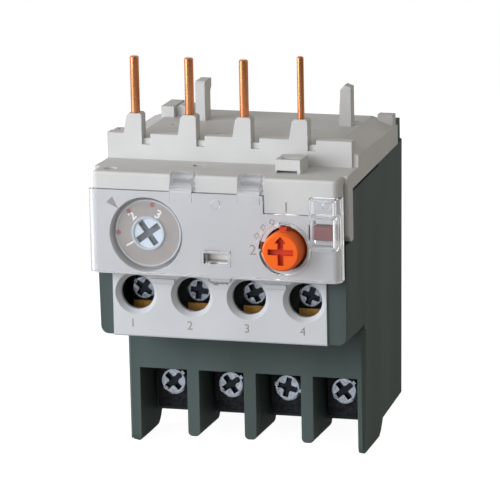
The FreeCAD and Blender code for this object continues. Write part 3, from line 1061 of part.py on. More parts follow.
def compensator_strip():
    right = COMPENSATOR_END - 0.3
    return box((right - COMPENSATOR_STRIP, right), (CAM_BACK, ROCKER_FRONT - FREE),
               (COMPENSATOR_FOOT, COMPENSATOR_FOOT + COMPENSATOR_ARM))


# ---------------------------------------------------------------- all nodes
def build_nodes():
    nodes = {
        "base_housing": base_housing(),
        "top_cover": top_cover(),
        "terminal_panel": terminal_panel(),
        "clear_cover": clear_cover(),
        "setting_dial": setting_dial(),
        "dial_cam": dial_cam(),
        "reset_knob": reset_knob(),
        "reset_plunger": reset_plunger(),
        "reset_spring": reset_spring(),
        "test_button": test_button(),
        "test_button_spring": button_spring(),
        "push_slider": slider(0),
        "return_slider": slider(1),
        "trip_lever": trip_lever(),
        "trip_lever_pin": lever_pin(),
        "contact_rocker": contact_rocker(),
        "rocker_pin": rocker_pin(),
        "trip_flag": trip_flag(),
        "closed_contact_bridge": contact_bridge(0, False),
        "open_contact_bridge": contact_bridge(2, True),
        "compensator_lever": compensator_lever(),
        "compensator_pin": compensator_pin(),
        "compensator_strip": compensator_strip(),
        "control_pin": pin_with_lead(CONTROL_PIN, CONTROL_PIN_RADIUS, CONTROL_PIN_TIP, BAY_MIDDLES[3]),
    }
    for index, x in enumerate(PINS):
        number = index + 1
        nodes["line_pin_%d" % number] = pin_with_lead(x, PIN_RADIUS, PIN_TIP, BAY_MIDDLES[index])
        nodes["bimetal_%d" % number] = bimetal(BAY_MIDDLES[index])
        nodes["heater_%d" % number] = heater(BAY_MIDDLES[index])
    for index, middle in enumerate(BAY_MIDDLES):
        number = index + 1
        nodes["load_terminal_%d" % number] = load_terminal(middle, index < 3)
        nodes["load_clamp_%d" % number] = clamp_plate(middle, MAIN_SCREW_Z, CLAMP_WIDTH, CLAMP_HEIGHT,
                                                      CLAMP_FRONT, CLAMP_THICK, MAIN_SHANK_RADIUS + RUN)
        nodes["load_screw_%d" % number] = terminal_screw(
            middle, MAIN_SCREW_Z, MAIN_HEAD_FRONT, MAIN_HEAD_RADIUS, MAIN_HEAD, MAIN_SHANK_RADIUS,
            MAIN_SHANK, MAIN_DRIVE_TURNS[index])
    for index, x in enumerate(HOLES):
        number = index + 1
        nodes["aux_terminal_%d" % number] = aux_terminal(x)
        nodes["aux_clamp_%d" % number] = clamp_plate(x, HOLE_HEIGHT, AUX_CLAMP, AUX_CLAMP,
                                                     AUX_CLAMP_FRONT, AUX_CLAMP_THICK, AUX_SHANK_RADIUS + RUN)
        nodes["aux_screw_%d" % number] = terminal_screw(
            x, HOLE_HEIGHT, AUX_HEAD_FRONT, AUX_HEAD_RADIUS, AUX_HEAD, AUX_SHANK_RADIUS, AUX_SHANK,
            AUX_DRIVE_TURNS[index])
    return nodes


def main():
    os.makedirs("parts", exist_ok=True)
    for name, shape in build_nodes().items():
        placed = shape.copy()
        placed.translate(-ORIGIN)
        placed.exportStep(os.path.join("parts", name + ".step"))


main()
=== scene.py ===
import bmesh
import bpy
import math
from mathutils import Matrix, Vector


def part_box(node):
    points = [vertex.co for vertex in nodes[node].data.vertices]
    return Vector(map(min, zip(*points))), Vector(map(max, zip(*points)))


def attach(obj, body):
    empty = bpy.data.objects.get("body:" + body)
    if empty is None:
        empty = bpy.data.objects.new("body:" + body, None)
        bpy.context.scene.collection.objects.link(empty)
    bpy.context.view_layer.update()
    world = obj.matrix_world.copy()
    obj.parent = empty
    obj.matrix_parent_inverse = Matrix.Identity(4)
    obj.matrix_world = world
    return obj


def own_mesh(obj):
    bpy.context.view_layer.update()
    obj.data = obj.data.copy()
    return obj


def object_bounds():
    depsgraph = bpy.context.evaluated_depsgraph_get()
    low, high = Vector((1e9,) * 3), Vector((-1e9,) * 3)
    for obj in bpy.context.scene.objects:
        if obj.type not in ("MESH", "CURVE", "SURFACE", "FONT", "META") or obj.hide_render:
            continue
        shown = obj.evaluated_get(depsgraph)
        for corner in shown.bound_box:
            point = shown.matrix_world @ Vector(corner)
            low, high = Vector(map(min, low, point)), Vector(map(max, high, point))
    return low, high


# Thermal overload relay: dark base, light grey top, clear hinged cover, dial, knob, red key and copper pins.
# The row frame is in metres from the foot of the middle line pin: X to the right, Y to the back, Z up.
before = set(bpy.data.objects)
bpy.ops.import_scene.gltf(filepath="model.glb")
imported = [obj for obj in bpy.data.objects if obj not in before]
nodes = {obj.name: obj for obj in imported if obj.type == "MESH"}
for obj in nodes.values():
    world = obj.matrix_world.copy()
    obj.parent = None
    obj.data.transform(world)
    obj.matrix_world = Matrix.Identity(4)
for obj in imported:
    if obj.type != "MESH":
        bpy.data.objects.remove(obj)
cad_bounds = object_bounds()
MM = 0.001

# ------------------------------------------------------------------ places on the CAD pieces
MIDDLE_PIN = (-7.7, 60.0)       # the middle line pin's foot, in millimetres in the housing's own frame


def from_housing(x, z):
    """Front-view place in the housing's own millimetres to the row frame."""
    return (x - MIDDLE_PIN[0]) * MM, (z - MIDDLE_PIN[1]) * MM


dial_low, dial_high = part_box("setting_dial")
plunger_low, plunger_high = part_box("reset_plunger")
DIAL = Vector(((dial_low.x + dial_high.x) / 2, dial_low.y, (dial_low.z + dial_high.z) / 2))
DIAL_RIM_RADIUS = 2.95 * MM                     # outside of the raised rim round the adjusting cross
DIAL_RIM_WIDTH = 0.35 * MM
DIAL_RIM_PROUD = 0.25 * MM
DIAL_EDGE_HIGHLIGHT_RADIUS = 5.6 * MM                     # where the painted highlight on the disc's rounded edge starts
DIAL_FACE_Y = DIAL.y + DIAL_RIM_PROUD
KNOB = Vector(((plunger_low.x + plunger_high.x) / 2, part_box("reset_knob")[0].y,
               (plunger_low.z + plunger_high.z) / 2))
KNOB_FACE_RADIUS = 2.75 * MM                    # inside of the knob's bevel
KNOB_POINTER_RADIUS = 3.4 * MM                  # outside of its round body, where the pointer stands out
FACE_Y = DIAL.y - 1.05 * MM                     # front of the setting face
COVER_FRONT_Y = FACE_Y - 1.2 * MM               # front of the clear cover
COVER_RAISED_Y = COVER_FRONT_Y - 0.8 * MM       # front of its raised part above the key
PANEL_FACE_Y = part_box("terminal_panel")[0].y + 0.3 * MM
KNUCKLE_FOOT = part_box("clear_cover")[1].z - 3.3 * MM    # the thick hinge knuckles start here
AUX_HEAD_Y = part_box("aux_screw_1")[0].y
MAIN_HEAD_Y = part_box("load_screw_1")[0].y

# ------------------------------------------------------------------ helpers for materials
MASK_SOFT = 0.03 * MM           # half the width of a colour's edge
MIDDLE_TOO = -1.0               # an inner radius below nought, so that a region takes in its middle
PAST_EDGE = 9.0 * MM            # an outer radius beyond the piece
TONE_MARKS = (0.35, 0.65)       # the marks' values between which the tone passes from shade to colour
GLOSS_MARKS = (0.3, 0.7)        # the same for the roughness


def linear(code):
    """sRGB hex to linear RGBA."""
    values = [int(code[i:i + 2], 16) / 255 for i in (0, 2, 4)]
    return [v / 12.92 if v <= 0.04045 else ((v + 0.055) / 1.055) ** 2.4 for v in values] + [1.0]


def node(tree, kind, settings=None, links=None, inputs=None):
    """Adds a shader node with its settings, incoming links and input values."""
    made = tree.nodes.new(kind)
    for key, value in (settings or {}).items():
        setattr(made, key, value)
    for key, socket in (links or {}).items():
        tree.links.new(socket, made.inputs[key])
    for key, value in (inputs or {}).items():
        made.inputs[key].default_value = value
    return made


def start(name):
    """New material with its shader and output."""
    material = bpy.data.materials.new(name)
    material.use_nodes = True
    tree = material.node_tree
    tree.nodes.clear()
    shader = node(tree, "ShaderNodeBsdfPrincipled")
    output = node(tree, "ShaderNodeOutputMaterial", links={"Surface": shader.outputs["BSDF"]})
    return material, tree, shader, output


def own_place(tree, centre=(0, 0, 0), stretch=(1, 1, 1)):
    """Where a point lies on its piece, from a centre; marks run longer along an axis stretched under 1."""
    point = node(tree, "ShaderNodeTexCoord").outputs["Object"]
    offset = [-c * s for c, s in zip(centre, stretch)]
    moved = node(tree, "ShaderNodeMapping", links={"Vector": point},
                 inputs={"Location": offset, "Scale": stretch})
    return moved.outputs["Vector"]


def marks_of(tree, size, stretch=(1, 1, 1), detail=2.0, fineness=0.5):
    """Uneven marks about `size` metres across, from 0 to 1."""
    marks = node(tree, "ShaderNodeTexNoise", links={"Vector": own_place(tree, stretch=stretch)},
                 inputs={"Scale": 1 / size, "Detail": detail, "Roughness": fineness})
    return marks.outputs["Fac"]


def two_tones(tree, marks, shade, colour):
    """Passes softly from shade to colour as the marks rise."""
    share = node(tree, "ShaderNodeMapRange", {"clamp": True}, {"Value": marks},
                 {"From Min": TONE_MARKS[0], "From Max": TONE_MARKS[1]})
    tone = node(tree, "ShaderNodeMix", {"data_type": "RGBA"}, {"Factor": share.outputs["Result"]},
                {6: linear(shade), 7: linear(colour)})
    return tone.outputs[2]


def soften(tree, shader, radius, marks, strength, depth=0.02 * MM):
    """Rounds sharp edges in the shading, as moulds and tumbling drums do, with a fine relief on top."""
    edge = node(tree, "ShaderNodeBevel", {"samples": 4}, inputs={"Radius": radius})
    relief = node(tree, "ShaderNodeBump", links={"Height": marks, "Normal": edge.outputs["Normal"]},
                  inputs={"Strength": strength, "Distance": depth})
    tree.links.new(relief.outputs["Normal"], shader.inputs["Normal"])


def distance_round(tree, centre):
    """Distance from an axis through a centre that runs from front to back."""
    flat = own_place(tree, centre, (1, 0, 1))
    return node(tree, "ShaderNodeVectorMath", {"operation": "LENGTH"}, {0: flat}).outputs["Value"]


def ring(tree, distance, inner, outer):
    """1 between two radii, 0 elsewhere."""
    rise = node(tree, "ShaderNodeMapRange", {"clamp": True}, {"Value": distance},
                {"From Min": inner - MASK_SOFT, "From Max": inner + MASK_SOFT})
    fall = node(tree, "ShaderNodeMapRange", {"clamp": True}, {"Value": distance},
                {"From Min": outer - MASK_SOFT, "From Max": outer + MASK_SOFT, "To Min": 1.0, "To Max": 0.0})
    both = node(tree, "ShaderNodeMath", {"operation": "MULTIPLY"},
                {0: rise.outputs["Result"], 1: fall.outputs["Result"]})
    return both.outputs["Value"]


def beyond(tree, axis, plane, soft, share=1.0):
    """0 up to a plane square to an axis, then rising to a share within a soft edge."""
    along = node(tree, "ShaderNodeSeparateXYZ", links={"Vector": own_place(tree)}).outputs[axis]
    rise = node(tree, "ShaderNodeMapRange", {"clamp": True}, {"Value": along},
                {"From Min": plane, "From Max": plane + soft, "To Max": share})
    return rise.outputs["Result"]


def sunk(tree, region, plane, soft):
    """The part of a region that lies behind a plane, such as the floor of a recess."""
    deep = beyond(tree, "Y", plane, soft)
    return node(tree, "ShaderNodeMath", {"operation": "MULTIPLY"}, {0: region, 1: deep}).outputs["Value"]


def painted(tree, shader, tone, layers):
    """Lays colours over a tone, each where its mask is 1."""
    for mask, colour in layers:
        layer = node(tree, "ShaderNodeMix", {"data_type": "RGBA"}, {"Factor": mask, 6: tone},
                     {7: linear(colour)})
        tone = layer.outputs[2]
    tree.links.new(tone, shader.inputs["Base Color"])


# ------------------------------------------------------------------ plastics
GRAIN = 0.22 * MM       # spark-eroded mould grain; drawn about twice as coarse as real so that it shows
FLOW = 9.0 * MM         # width of the faint uneven tone that melt flow leaves
UPRIGHT = (1, 1, 0.12)  # flow streaks about eight times longer than wide, standing upright
PLASTIC_IOR = 1.54
GLOSS_SPREAD = 0.06     # how far the roughness goes up and down with the grain


def moulded(name, colour, shade, roughness, grain=0.2, edge=0.15, specular=0.5, flow=(1, 1, 1)):
    """Injection-moulded plastic: grained mould surface, faint uneven tone, soft edges."""
    material, tree, shader, _ = start(name)
    tone = two_tones(tree, marks_of(tree, FLOW, flow, 3.0), shade, colour)
    tree.links.new(tone, shader.inputs["Base Color"])
    grains = marks_of(tree, GRAIN, fineness=0.6)
    gloss = node(tree, "ShaderNodeMapRange", {"clamp": True}, {"Value": grains},
                 {"From Min": GLOSS_MARKS[0], "From Max": GLOSS_MARKS[1],
                  "To Min": roughness - GLOSS_SPREAD, "To Max": roughness + GLOSS_SPREAD})
    tree.links.new(gloss.outputs["Result"], shader.inputs["Roughness"])
    shader.inputs["IOR"].default_value = PLASTIC_IOR
    shader.inputs["Specular IOR Level"].default_value = specular
    soften(tree, shader, edge * MM, grains, strength=grain)
    return material, tree, shader, tone


def light_housing():
    """Light grey PBT: a fine matt mould grain that spreads the light evenly."""
    return moulded("light_grey_moulded_pbt", "C6C7C6", "C0C1C0", 0.55, edge=0.2, specular=0.2)[0]


def dark_housing():
    """Dark green-grey glass-filled polyamide: dull, with upright flow streaks from the gate."""
    return moulded("dark_green_grey_glass_filled_pa", "505C5A", "475250", 0.6, grain=0.3, edge=0.2,
                   specular=0.05, flow=UPRIGHT)[0]


def panel_moulding():
    """Light grey PBT of the terminal panel, a little smoother and cooler than the top cover."""
    return moulded("light_grey_terminal_panel_pbt", "C0C3C6", "BABDC0", 0.5, grain=0.15, specular=0.25)[0]


def clear_moulding():
    """Moulded polycarbonate: clear and glossy, with a painted white reflection that brightens the thick hinge
    knuckles.
    """
    material, tree, shader, output = start("clear_moulded_polycarbonate")
    shader.inputs["Base Color"].default_value = linear("F6F7F9")
    shader.inputs["Roughness"].default_value = 0.02
    shader.inputs["IOR"].default_value = 1.58
    shader.inputs["Transmission Weight"].default_value = 1.0
    soften(tree, shader, 0.15 * MM, marks_of(tree, 4.0 * MM), strength=0.15, depth=0.05 * MM)
    # painted reflection: a share of diffuse white above the knuckles' foot stands in for their bright glints
    knuckle_white_reflection = node(tree, "ShaderNodeBsdfDiffuse", inputs={"Color": linear("E6E8EC")})
    thick = beyond(tree, "Z", KNUCKLE_FOOT, soft=0.3 * MM, share=0.22)
    body = node(tree, "ShaderNodeMixShader",
                links={0: thick, 1: shader.outputs["BSDF"], 2: knuckle_white_reflection.outputs["BSDF"]})
    # light on its way to the pieces behind passes straight through, so that the cover casts no dark shadow
    rays = node(tree, "ShaderNodeLightPath")
    lighting = node(tree, "ShaderNodeMath", {"operation": "MAXIMUM"},
                    {0: rays.outputs["Is Shadow Ray"], 1: rays.outputs["Is Diffuse Ray"]})
    passing = node(tree, "ShaderNodeBsdfTransparent", inputs={"Color": linear("F4F5F7")})
    either = node(tree, "ShaderNodeMixShader",
                  links={0: lighting.outputs["Value"], 1: body.outputs["Shader"], 2: passing.outputs["BSDF"]})
    tree.links.new(either.outputs["Shader"], output.inputs["Surface"])
    return material


def dial_moulding():
    """Grey-brown polyamide dial: pale blue-grey adjusting face inside a raised rim; painted shade darkens the
    cross slot, and a painted highlight lightens the disc's rounded edge.
    """
    material, tree, shader, tone = moulded("grey_dial_moulded_pa", "9C938C", "908780", 0.5, grain=0.25,
                                           edge=0.1)
    distance = distance_round(tree, DIAL)
    hub_radius = DIAL_RIM_RADIUS - DIAL_RIM_WIDTH
    hub = ring(tree, distance, MIDDLE_TOO, hub_radius)
    rim = ring(tree, distance, hub_radius, DIAL_RIM_RADIUS + 0.05 * MM)
    # painted highlight: a pale ring on the disc's rounded edge
    edge = ring(tree, distance, DIAL_EDGE_HIGHLIGHT_RADIUS, PAST_EDGE)
    # painted shade: the floor of the cross slot is coloured dark
    slot = sunk(tree, hub, DIAL_FACE_Y + 0.15 * MM, soft=0.3 * MM)
    painted(tree, shader, tone, ((hub, "D2DEE6"), (rim, "B8C1C8"), (edge, "BEC0C5"), (slot, "4A5A66")))
    return material


def knob_moulding():
    """Orange polyamide knob: bright face and bevel; painted shade turns its moulded arrow cross recess and
    the deep part of its pointer deep red.
    """
    material, tree, shader, tone = moulded("orange_knob_moulded_pa", "EE6612", "E45C0C", 0.38, grain=0.1,
                                           specular=0.25)
    distance = distance_round(tree, KNOB)
    face = ring(tree, distance, MIDDLE_TOO, KNOB_FACE_RADIUS)
    outside = ring(tree, distance, KNOB_POINTER_RADIUS, PAST_EDGE)
    # painted shade: deep red in the arrow cross recess
    cross = sunk(tree, face, KNOB.y + 0.12 * MM, soft=0.35 * MM)
    # painted shade: deep red on the pointer and body behind the well's rim
    pointer = sunk(tree, outside, KNOB.y + 1.2 * MM, soft=0.4 * MM)
    painted(tree, shader, tone, ((cross, "CE3A1C"), (pointer, "B83A1E")))
    return material


# ------------------------------------------------------------------ metals and inks
# the lines and specks on the metals are several times as coarse as real ones, so that they show
DRAWN = (1, 1, 0.06)    # die lines, drawn out upright along the wire
ROLLED = (1, 1, 0.1)    # rolling lines along a strip that stands upright
DULLER = 0.08           # how much rougher the darkest marks are
SHINIER = 0.05          # how much smoother the brightest marks are


def metal(name, colour, shade, roughness, size, stretch=(1, 1, 1), relief=0.2, edge=0.08):
    """Bare or plated metal: uneven tone and fine marks of `size` metres, duller where the tone is darker."""
    material, tree, shader, _ = start(name)
    marks = marks_of(tree, size, stretch, 4.0, 0.6)
    tone = two_tones(tree, marks, shade, colour)
    tree.links.new(tone, shader.inputs["Base Color"])
    gloss = node(tree, "ShaderNodeMapRange", {"clamp": True}, {"Value": marks},
                 {"From Min": GLOSS_MARKS[0], "From Max": GLOSS_MARKS[1],
                  "To Min": roughness + DULLER, "To Max": roughness - SHINIER})
    tree.links.new(gloss.outputs["Result"], shader.inputs["Roughness"])
    shader.inputs["Metallic"].default_value = 1.0
    soften(tree, shader, edge * MM, marks, strength=relief)
    return material, tree, shader, tone


def drawn_copper():
    """Copper wire drawn through a die: long fine lines, a warm brown skin where it has tarnished."""
    return metal("drawn_copper_pin", "E89C6E", "BC764C", 0.18, 0.6 * MM, DRAWN, relief=0.25, edge=0.15)[0]


def stamped_brass():
    """Brass strip, stamped and left bare: warm yellow and half dull."""
    return metal("stamped_brass_plate", "ECBC6C", "D29C4C", 0.5, 0.8 * MM)[0]


def zinc_screw(name, head_front, colour, shade):
    """Zinc-plated steel screw: bright bluish white head, with painted shade that darkens its cross recess."""
    material, tree, shader, tone = metal(name, colour, shade, 0.3, 0.6 * MM, relief=0.5)
    # painted shade: behind the head's front, the cross recess is coloured nearly black
    recess = beyond(tree, "Y", head_front + 0.35 * MM, soft=0.3 * MM)
    painted(tree, shader, tone, ((recess, "2A2E34"),))
    return material


def phosphated_clamp():
    """Square steel clamp washer, coloured nearly black as painted shade of the deep terminal bays, with a
    weak sheen.
    """
    return metal("steel_clamp_painted_bay_shade", "34363A", "1E2022", 0.38, 0.5 * MM)[0]


def printed(name, colour):
    """Pad-printed ink: matt and opaque, slightly uneven where the pad lifted."""
    material, tree, shader, _ = start(name)
    worn = node(tree, "ShaderNodeMapRange", {"clamp": True}, {"Value": marks_of(tree, 0.5 * MM, detail=3.0)},
                {"From Min": 0.2, "From Max": 0.8, "To Max": 0.25})
    tone = node(tree, "ShaderNodeMix", {"data_type": "RGBA"}, {"Factor": worn.outputs["Result"]},
                {6: linear(colour), 7: linear("B0ADAA")})
    tree.links.new(tone.outputs[2], shader.inputs["Base Color"])
    shader.inputs["Roughness"].default_value = 0.6
    shader.inputs["Specular IOR Level"].default_value = 0.3
    return material


LIGHT_MOULDING = light_housing()
DARK_MOULDING = dark_housing()
PANEL_MOULDING = panel_moulding()
CLEAR = clear_moulding()
DIAL_FACE = dial_moulding()
ORANGE = knob_moulding()
RED = moulded("red_key_moulded_pa", "6A060C", "5E040A", 0.4, grain=0.1)[0]
INNER = moulded("black_inner_moulded_pa", "24272A", "1E2022", 0.5)[0]
FLAG = moulded("white_flag_moulded_pa", "E4E0DC", "DAD6D2", 0.45, grain=0.1)[0]
COPPER = drawn_copper()
BRASS = stamped_brass()
# the terminal screws take darker colours than the main screws: painted shade of the funnel holes they sit in
AUX_SCREW_PAINTED_SHADE = zinc_screw("zinc_plated_terminal_screw_painted_shade", AUX_HEAD_Y, "A6ADB7", "6C737C")
MAIN_SCREW = zinc_screw("zinc_plated_main_screw", MAIN_HEAD_Y, "C2C9D3", "8F98A4")
# nearly black steel: painted shade of the deep terminal bays
CLAMP_STEEL_PAINTED_SHADE = phosphated_clamp()
SPRING_STEEL = metal("spring_steel", "A9ADB2", "8F9398", 0.3, 0.8 * MM)[0]
STRIP = metal("bimetal_strip", "9C968C", "868077", 0.4, 1.2 * MM, ROLLED)[0]
INK = printed("grey_brown_ink", "857C76")
WHITE_INK = printed("white_ink", "F4F4F2")
DOT_INK = printed("red_brown_ink", "8C3820")

# ------------------------------------------------------------------ finishes of the CAD pieces
FINISHES = {
    "base_housing": DARK_MOULDING,
    "top_cover": LIGHT_MOULDING,
    "terminal_panel": PANEL_MOULDING,
    "clear_cover": CLEAR,
    "setting_dial": DIAL_FACE,
    "reset_knob": ORANGE,
    "test_button_spring": SPRING_STEEL,
    "test_button": RED,
    "trip_flag": FLAG,
    "line_pin": COPPER,
    "control_pin": COPPER,
    "aux_terminal": BRASS,
    # clamps and load terminal plates are nearly black: painted shade of the deep bays and holes
    "aux_clamp": CLAMP_STEEL_PAINTED_SHADE,
    "aux_screw": AUX_SCREW_PAINTED_SHADE,
    "load_terminal": CLAMP_STEEL_PAINTED_SHADE,
    "load_clamp": CLAMP_STEEL_PAINTED_SHADE,
    "load_screw": MAIN_SCREW,
    "rocker_pin": SPRING_STEEL,
    "trip_lever_pin": SPRING_STEEL,
    "compensator_pin": SPRING_STEEL,
    "reset_spring": SPRING_STEEL,
    "bimetal": STRIP,
    "heater": STRIP,
    "compensator_strip": STRIP,
    "closed_contact": BRASS,
    "open_contact": BRASS,
}


def finish_of(name):
    """The finish of a CAD piece; levers, sliders, rocker, cam and plunger inside are black mouldings."""
    for beginning, material in FINISHES.items():
        if name.startswith(beginning):
            return material
    return INNER


for name, piece in nodes.items():
    piece.data.materials.clear()
    piece.data.materials.append(finish_of(name))

# ------------------------------------------------------------------ return springs
# each coil gets its own mesh; listed with the joint that presses in the piece on its front end, and that
# piece's travel
RETURN_SPRINGS = (
    ("reset_spring", "reset_press", 2.0 * MM),
    ("test_button_spring", "test_press", 1.2 * MM),
)
for spring, joint, travel in RETURN_SPRINGS:
    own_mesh(nodes[spring])

# ------------------------------------------------------------------ helpers for prints and marks
INK_LIFT = 0.005 * MM           # how far a print's place lies in front of the surface that it is printed on
INK_THICKNESS = 0.02 * MM       # thicker than real ink, so that the print keeps its colour at a slant
CAPITAL_SHARE = 0.7             # a numeral's height as a share of the font's size


def add_piece(name, bm, material, body, smooth=False):
    """Turns a bmesh into a piece that rides on a body."""
    mesh = bpy.data.meshes.new(name)
    bm.to_mesh(mesh)
    bm.free()
    for face in mesh.polygons:
        face.use_smooth = smooth
    mesh.materials.append(material)
    piece = bpy.data.objects.new(name, mesh)
    bpy.context.scene.collection.objects.link(piece)
    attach(piece, body)


def facing(x, y, z, degrees=0.0):
    """Stands a flat shape drawn in XY upright at a place, facing the front and turned by degrees."""
    upright = Matrix.Rotation(math.radians(90), 4, "X")
    spin = Matrix.Rotation(math.radians(-degrees), 4, "Y")
    return Matrix.Translation(Vector((x, y, z))) @ spin @ upright


def outline(corners):
    """Flat face with the given corners."""
    bm = bmesh.new()
    bm.faces.new([bm.verts.new((x, y, 0)) for x, y in corners])
    return bm


def dot(radius):
    """Small flat disc."""
    bm = bmesh.new()
    bmesh.ops.create_circle(bm, cap_ends=True, segments=28, radius=radius)
    return bm


def print_piece(name, bm, place, material, body):
    """Gives a flat shape the ink's thickness and prints it at a place."""
    made = bmesh.ops.extrude_face_region(bm, geom=bm.faces[:])
    lifted = [item for item in made["geom"] if isinstance(item, bmesh.types.BMVert)]
    bmesh.ops.translate(bm, verts=lifted, vec=(0, 0, INK_THICKNESS))
    bmesh.ops.recalc_face_normals(bm, faces=bm.faces)
    bmesh.ops.transform(bm, matrix=place, verts=bm.verts)
    add_piece(name, bm, material, body)


def number(name, text, height, place, material, body, boldness=0.0):
    """Printed numeral of a given height, centred on its place."""
    curve = bpy.data.curves.new(name, "FONT")
    curve.body = text
    curve.size = height / CAPITAL_SHARE
    curve.extrude = INK_THICKNESS / 2
    curve.offset = boldness
    curve.resolution_u = 4
    curve.align_x = "CENTER"
    curve.align_y = "CENTER"
    letter = bpy.data.objects.new(name, curve)
    bpy.context.scene.collection.objects.link(letter)
    bpy.context.view_layer.update()
    mesh = bpy.data.meshes.new_from_object(letter.evaluated_get(bpy.context.evaluated_depsgraph_get()))
    bpy.data.objects.remove(letter)
    bm = bmesh.new()
    bm.from_mesh(mesh)
    bpy.data.meshes.remove(mesh)
    bmesh.ops.remove_doubles(bm, verts=bm.verts, dist=1e-7)
    bmesh.ops.transform(bm, matrix=place, verts=bm.verts)
    add_piece(name, bm, material, body)


def bead_ring(name, x, y, z, radius, bead):
    """Raised bead on the clear cover, bent round an axis from front to back: the mark of an ejector pin."""
    bm = bmesh.new()
    made = bmesh.ops.create_circle(bm, segments=8, radius=bead)
    bmesh.ops.translate(bm, verts=made["verts"], vec=(radius, 0, 0))
    bmesh.ops.spin(bm, geom=bm.verts[:] + bm.edges[:], cent=(0, 0, 0), axis=(0, 1, 0),
                   angle=2 * math.pi, steps=32, use_merge=True)
    bmesh.ops.recalc_face_normals(bm, faces=bm.faces)
    bmesh.ops.translate(bm, verts=bm.verts, vec=(x, y, z))
    add_piece(name, bm, CLEAR, "cover", smooth=True)


# ------------------------------------------------------------------ prints on the dial
DIAL_NUMERAL = 1.5 * MM
DIAL_BOLDNESS = 0.05 * MM
DOT_RADIUS = 0.45 * MM
# numeral, its angle and radius, then its dot's angle and radius; degrees from the right, and millimetres
DIAL_MARKS = (("1", 211, 3.75, 181, 5.35), ("2", 134, 4.0, 132.5, 5.05), ("3", 61, 3.75, 80.5, 5.05))


def on_dial(angle, radius, degrees=0.0):
    """Place on the dial's face at an angle and a radius in millimetres."""
    turn = math.radians(angle)
    return facing(DIAL.x + radius * MM * math.cos(turn), DIAL_FACE_Y - INK_LIFT,
                  DIAL.z + radius * MM * math.sin(turn), degrees)


for text, angle, radius, dot_angle, dot_radius in DIAL_MARKS:
    number("dial_numeral_" + text, text, DIAL_NUMERAL, on_dial(angle, radius, angle - 90), WHITE_INK,
           "dial", DIAL_BOLDNESS)
    print_piece("dial_dot_" + text, dot(DOT_RADIUS), on_dial(dot_angle, dot_radius), DOT_INK,
                "dial")

# ------------------------------------------------------------------ prints on the setting face
POINTER = [from_housing(x, z) for x, z in ((-19.10, 46.72), (-16.98, 45.76), (-18.01, 47.80))]
print_piece("pointer_mark", outline(POINTER), facing(0, FACE_Y - INK_LIFT, 0), INK, "housing")

# three small open squares round the knob: place in the housing's millimetres, and tilt
INDEX_SQUARES = ((7.64, 42.07, 35), (8.80, 43.59, 50), (10.36, 44.58, 70))
SQUARE = 0.42 * MM      # half a side
STROKE = 0.14 * MM      # width of its line
SQUARE_SIDES = (        # left, low, right, high
    (-SQUARE, -SQUARE, SQUARE, STROKE - SQUARE),
    (-SQUARE, SQUARE - STROKE, SQUARE, SQUARE),
    (-SQUARE, -SQUARE, STROKE - SQUARE, SQUARE),
    (SQUARE - STROKE, -SQUARE, SQUARE, SQUARE),
)
for index, (x, z, tilt) in enumerate(INDEX_SQUARES, 1):
    px, pz = from_housing(x, z)
    for side, (left, low, right, high) in enumerate(SQUARE_SIDES, 1):
        # each side lies one lift higher, so that their corners never share a face
        place = facing(px, FACE_Y - INK_LIFT * side, pz, tilt)
        print_piece("index_square_%d_side_%d" % (index, side),
                    outline(((left, low), (right, low), (right, high), (left, high))), place, INK,
                    "housing")

POSITION_NUMERAL = 1.8 * MM
POSITIONS = (("2", 6.86, 39.49), ("1", 12.77, 47.05))
for text, x, z in POSITIONS:
    px, pz = from_housing(x, z)
    number("position_numeral_" + text, text, POSITION_NUMERAL, facing(px, FACE_Y - INK_LIFT, pz), INK,
           "housing")

# ------------------------------------------------------------------ prints on the terminal panel
TERMINAL_NUMERAL = 1.5 * MM
TERMINAL_X = (-16.13, -5.84, 4.38, 14.34)
TERMINAL_Z = 24.67
for index, x in enumerate(TERMINAL_X, 1):
    px, pz = from_housing(x, TERMINAL_Z)
    number("terminal_numeral_%d" % index, str(index), TERMINAL_NUMERAL,
           facing(px, PANEL_FACE_Y - INK_LIFT, pz), INK, "housing")

# ------------------------------------------------------------------ ejector marks on the clear cover
EJECTOR_BEAD = 0.09 * MM
# place and radius in the housing's millimetres, and the surface that the mark stands on
EJECTOR_MARKS = ((0.61, 47.36, 0.85, COVER_FRONT_Y), (20.38, 48.05, 0.7, COVER_RAISED_Y))
for index, (x, z, radius, front) in enumerate(EJECTOR_MARKS, 1):
    px, pz = from_housing(x, z)
    bead_ring("ejector_mark_%d" % index, px, front, pz, radius * MM, EJECTOR_BEAD)

# ------------------------------------------------------------------ floor
FLOOR_GAP = 0.02 * MM
FLOOR_RADIUS = 0.32
PAPER = "9A9A9A"            # what the paper gives back of the lamps' light, with the object's shadow in it
PAPER_GLOW = 0.94           # brings the lit paper up to the backdrop's white
PAPER_MIRRORED = 0.55       # how much of the glow shiny pieces mirror


def shown_white(tree, mirrored):
    """1 where the eye looks straight or through the cover, `mirrored` off a surface, 0 for lighting."""
    rays = node(tree, "ShaderNodeLightPath")
    glossy = node(tree, "ShaderNodeMath", {"operation": "MULTIPLY"}, {0: rays.outputs["Is Glossy Ray"]},
                  {1: mirrored})
    first = node(tree, "ShaderNodeMath", {"operation": "ADD", "use_clamp": True},
                 {0: rays.outputs["Is Camera Ray"], 1: glossy.outputs["Value"]})
    every = node(tree, "ShaderNodeMath", {"operation": "ADD", "use_clamp": True},
                 {0: first.outputs["Value"], 1: rays.outputs["Is Transmission Ray"]})
    return every.outputs["Value"]


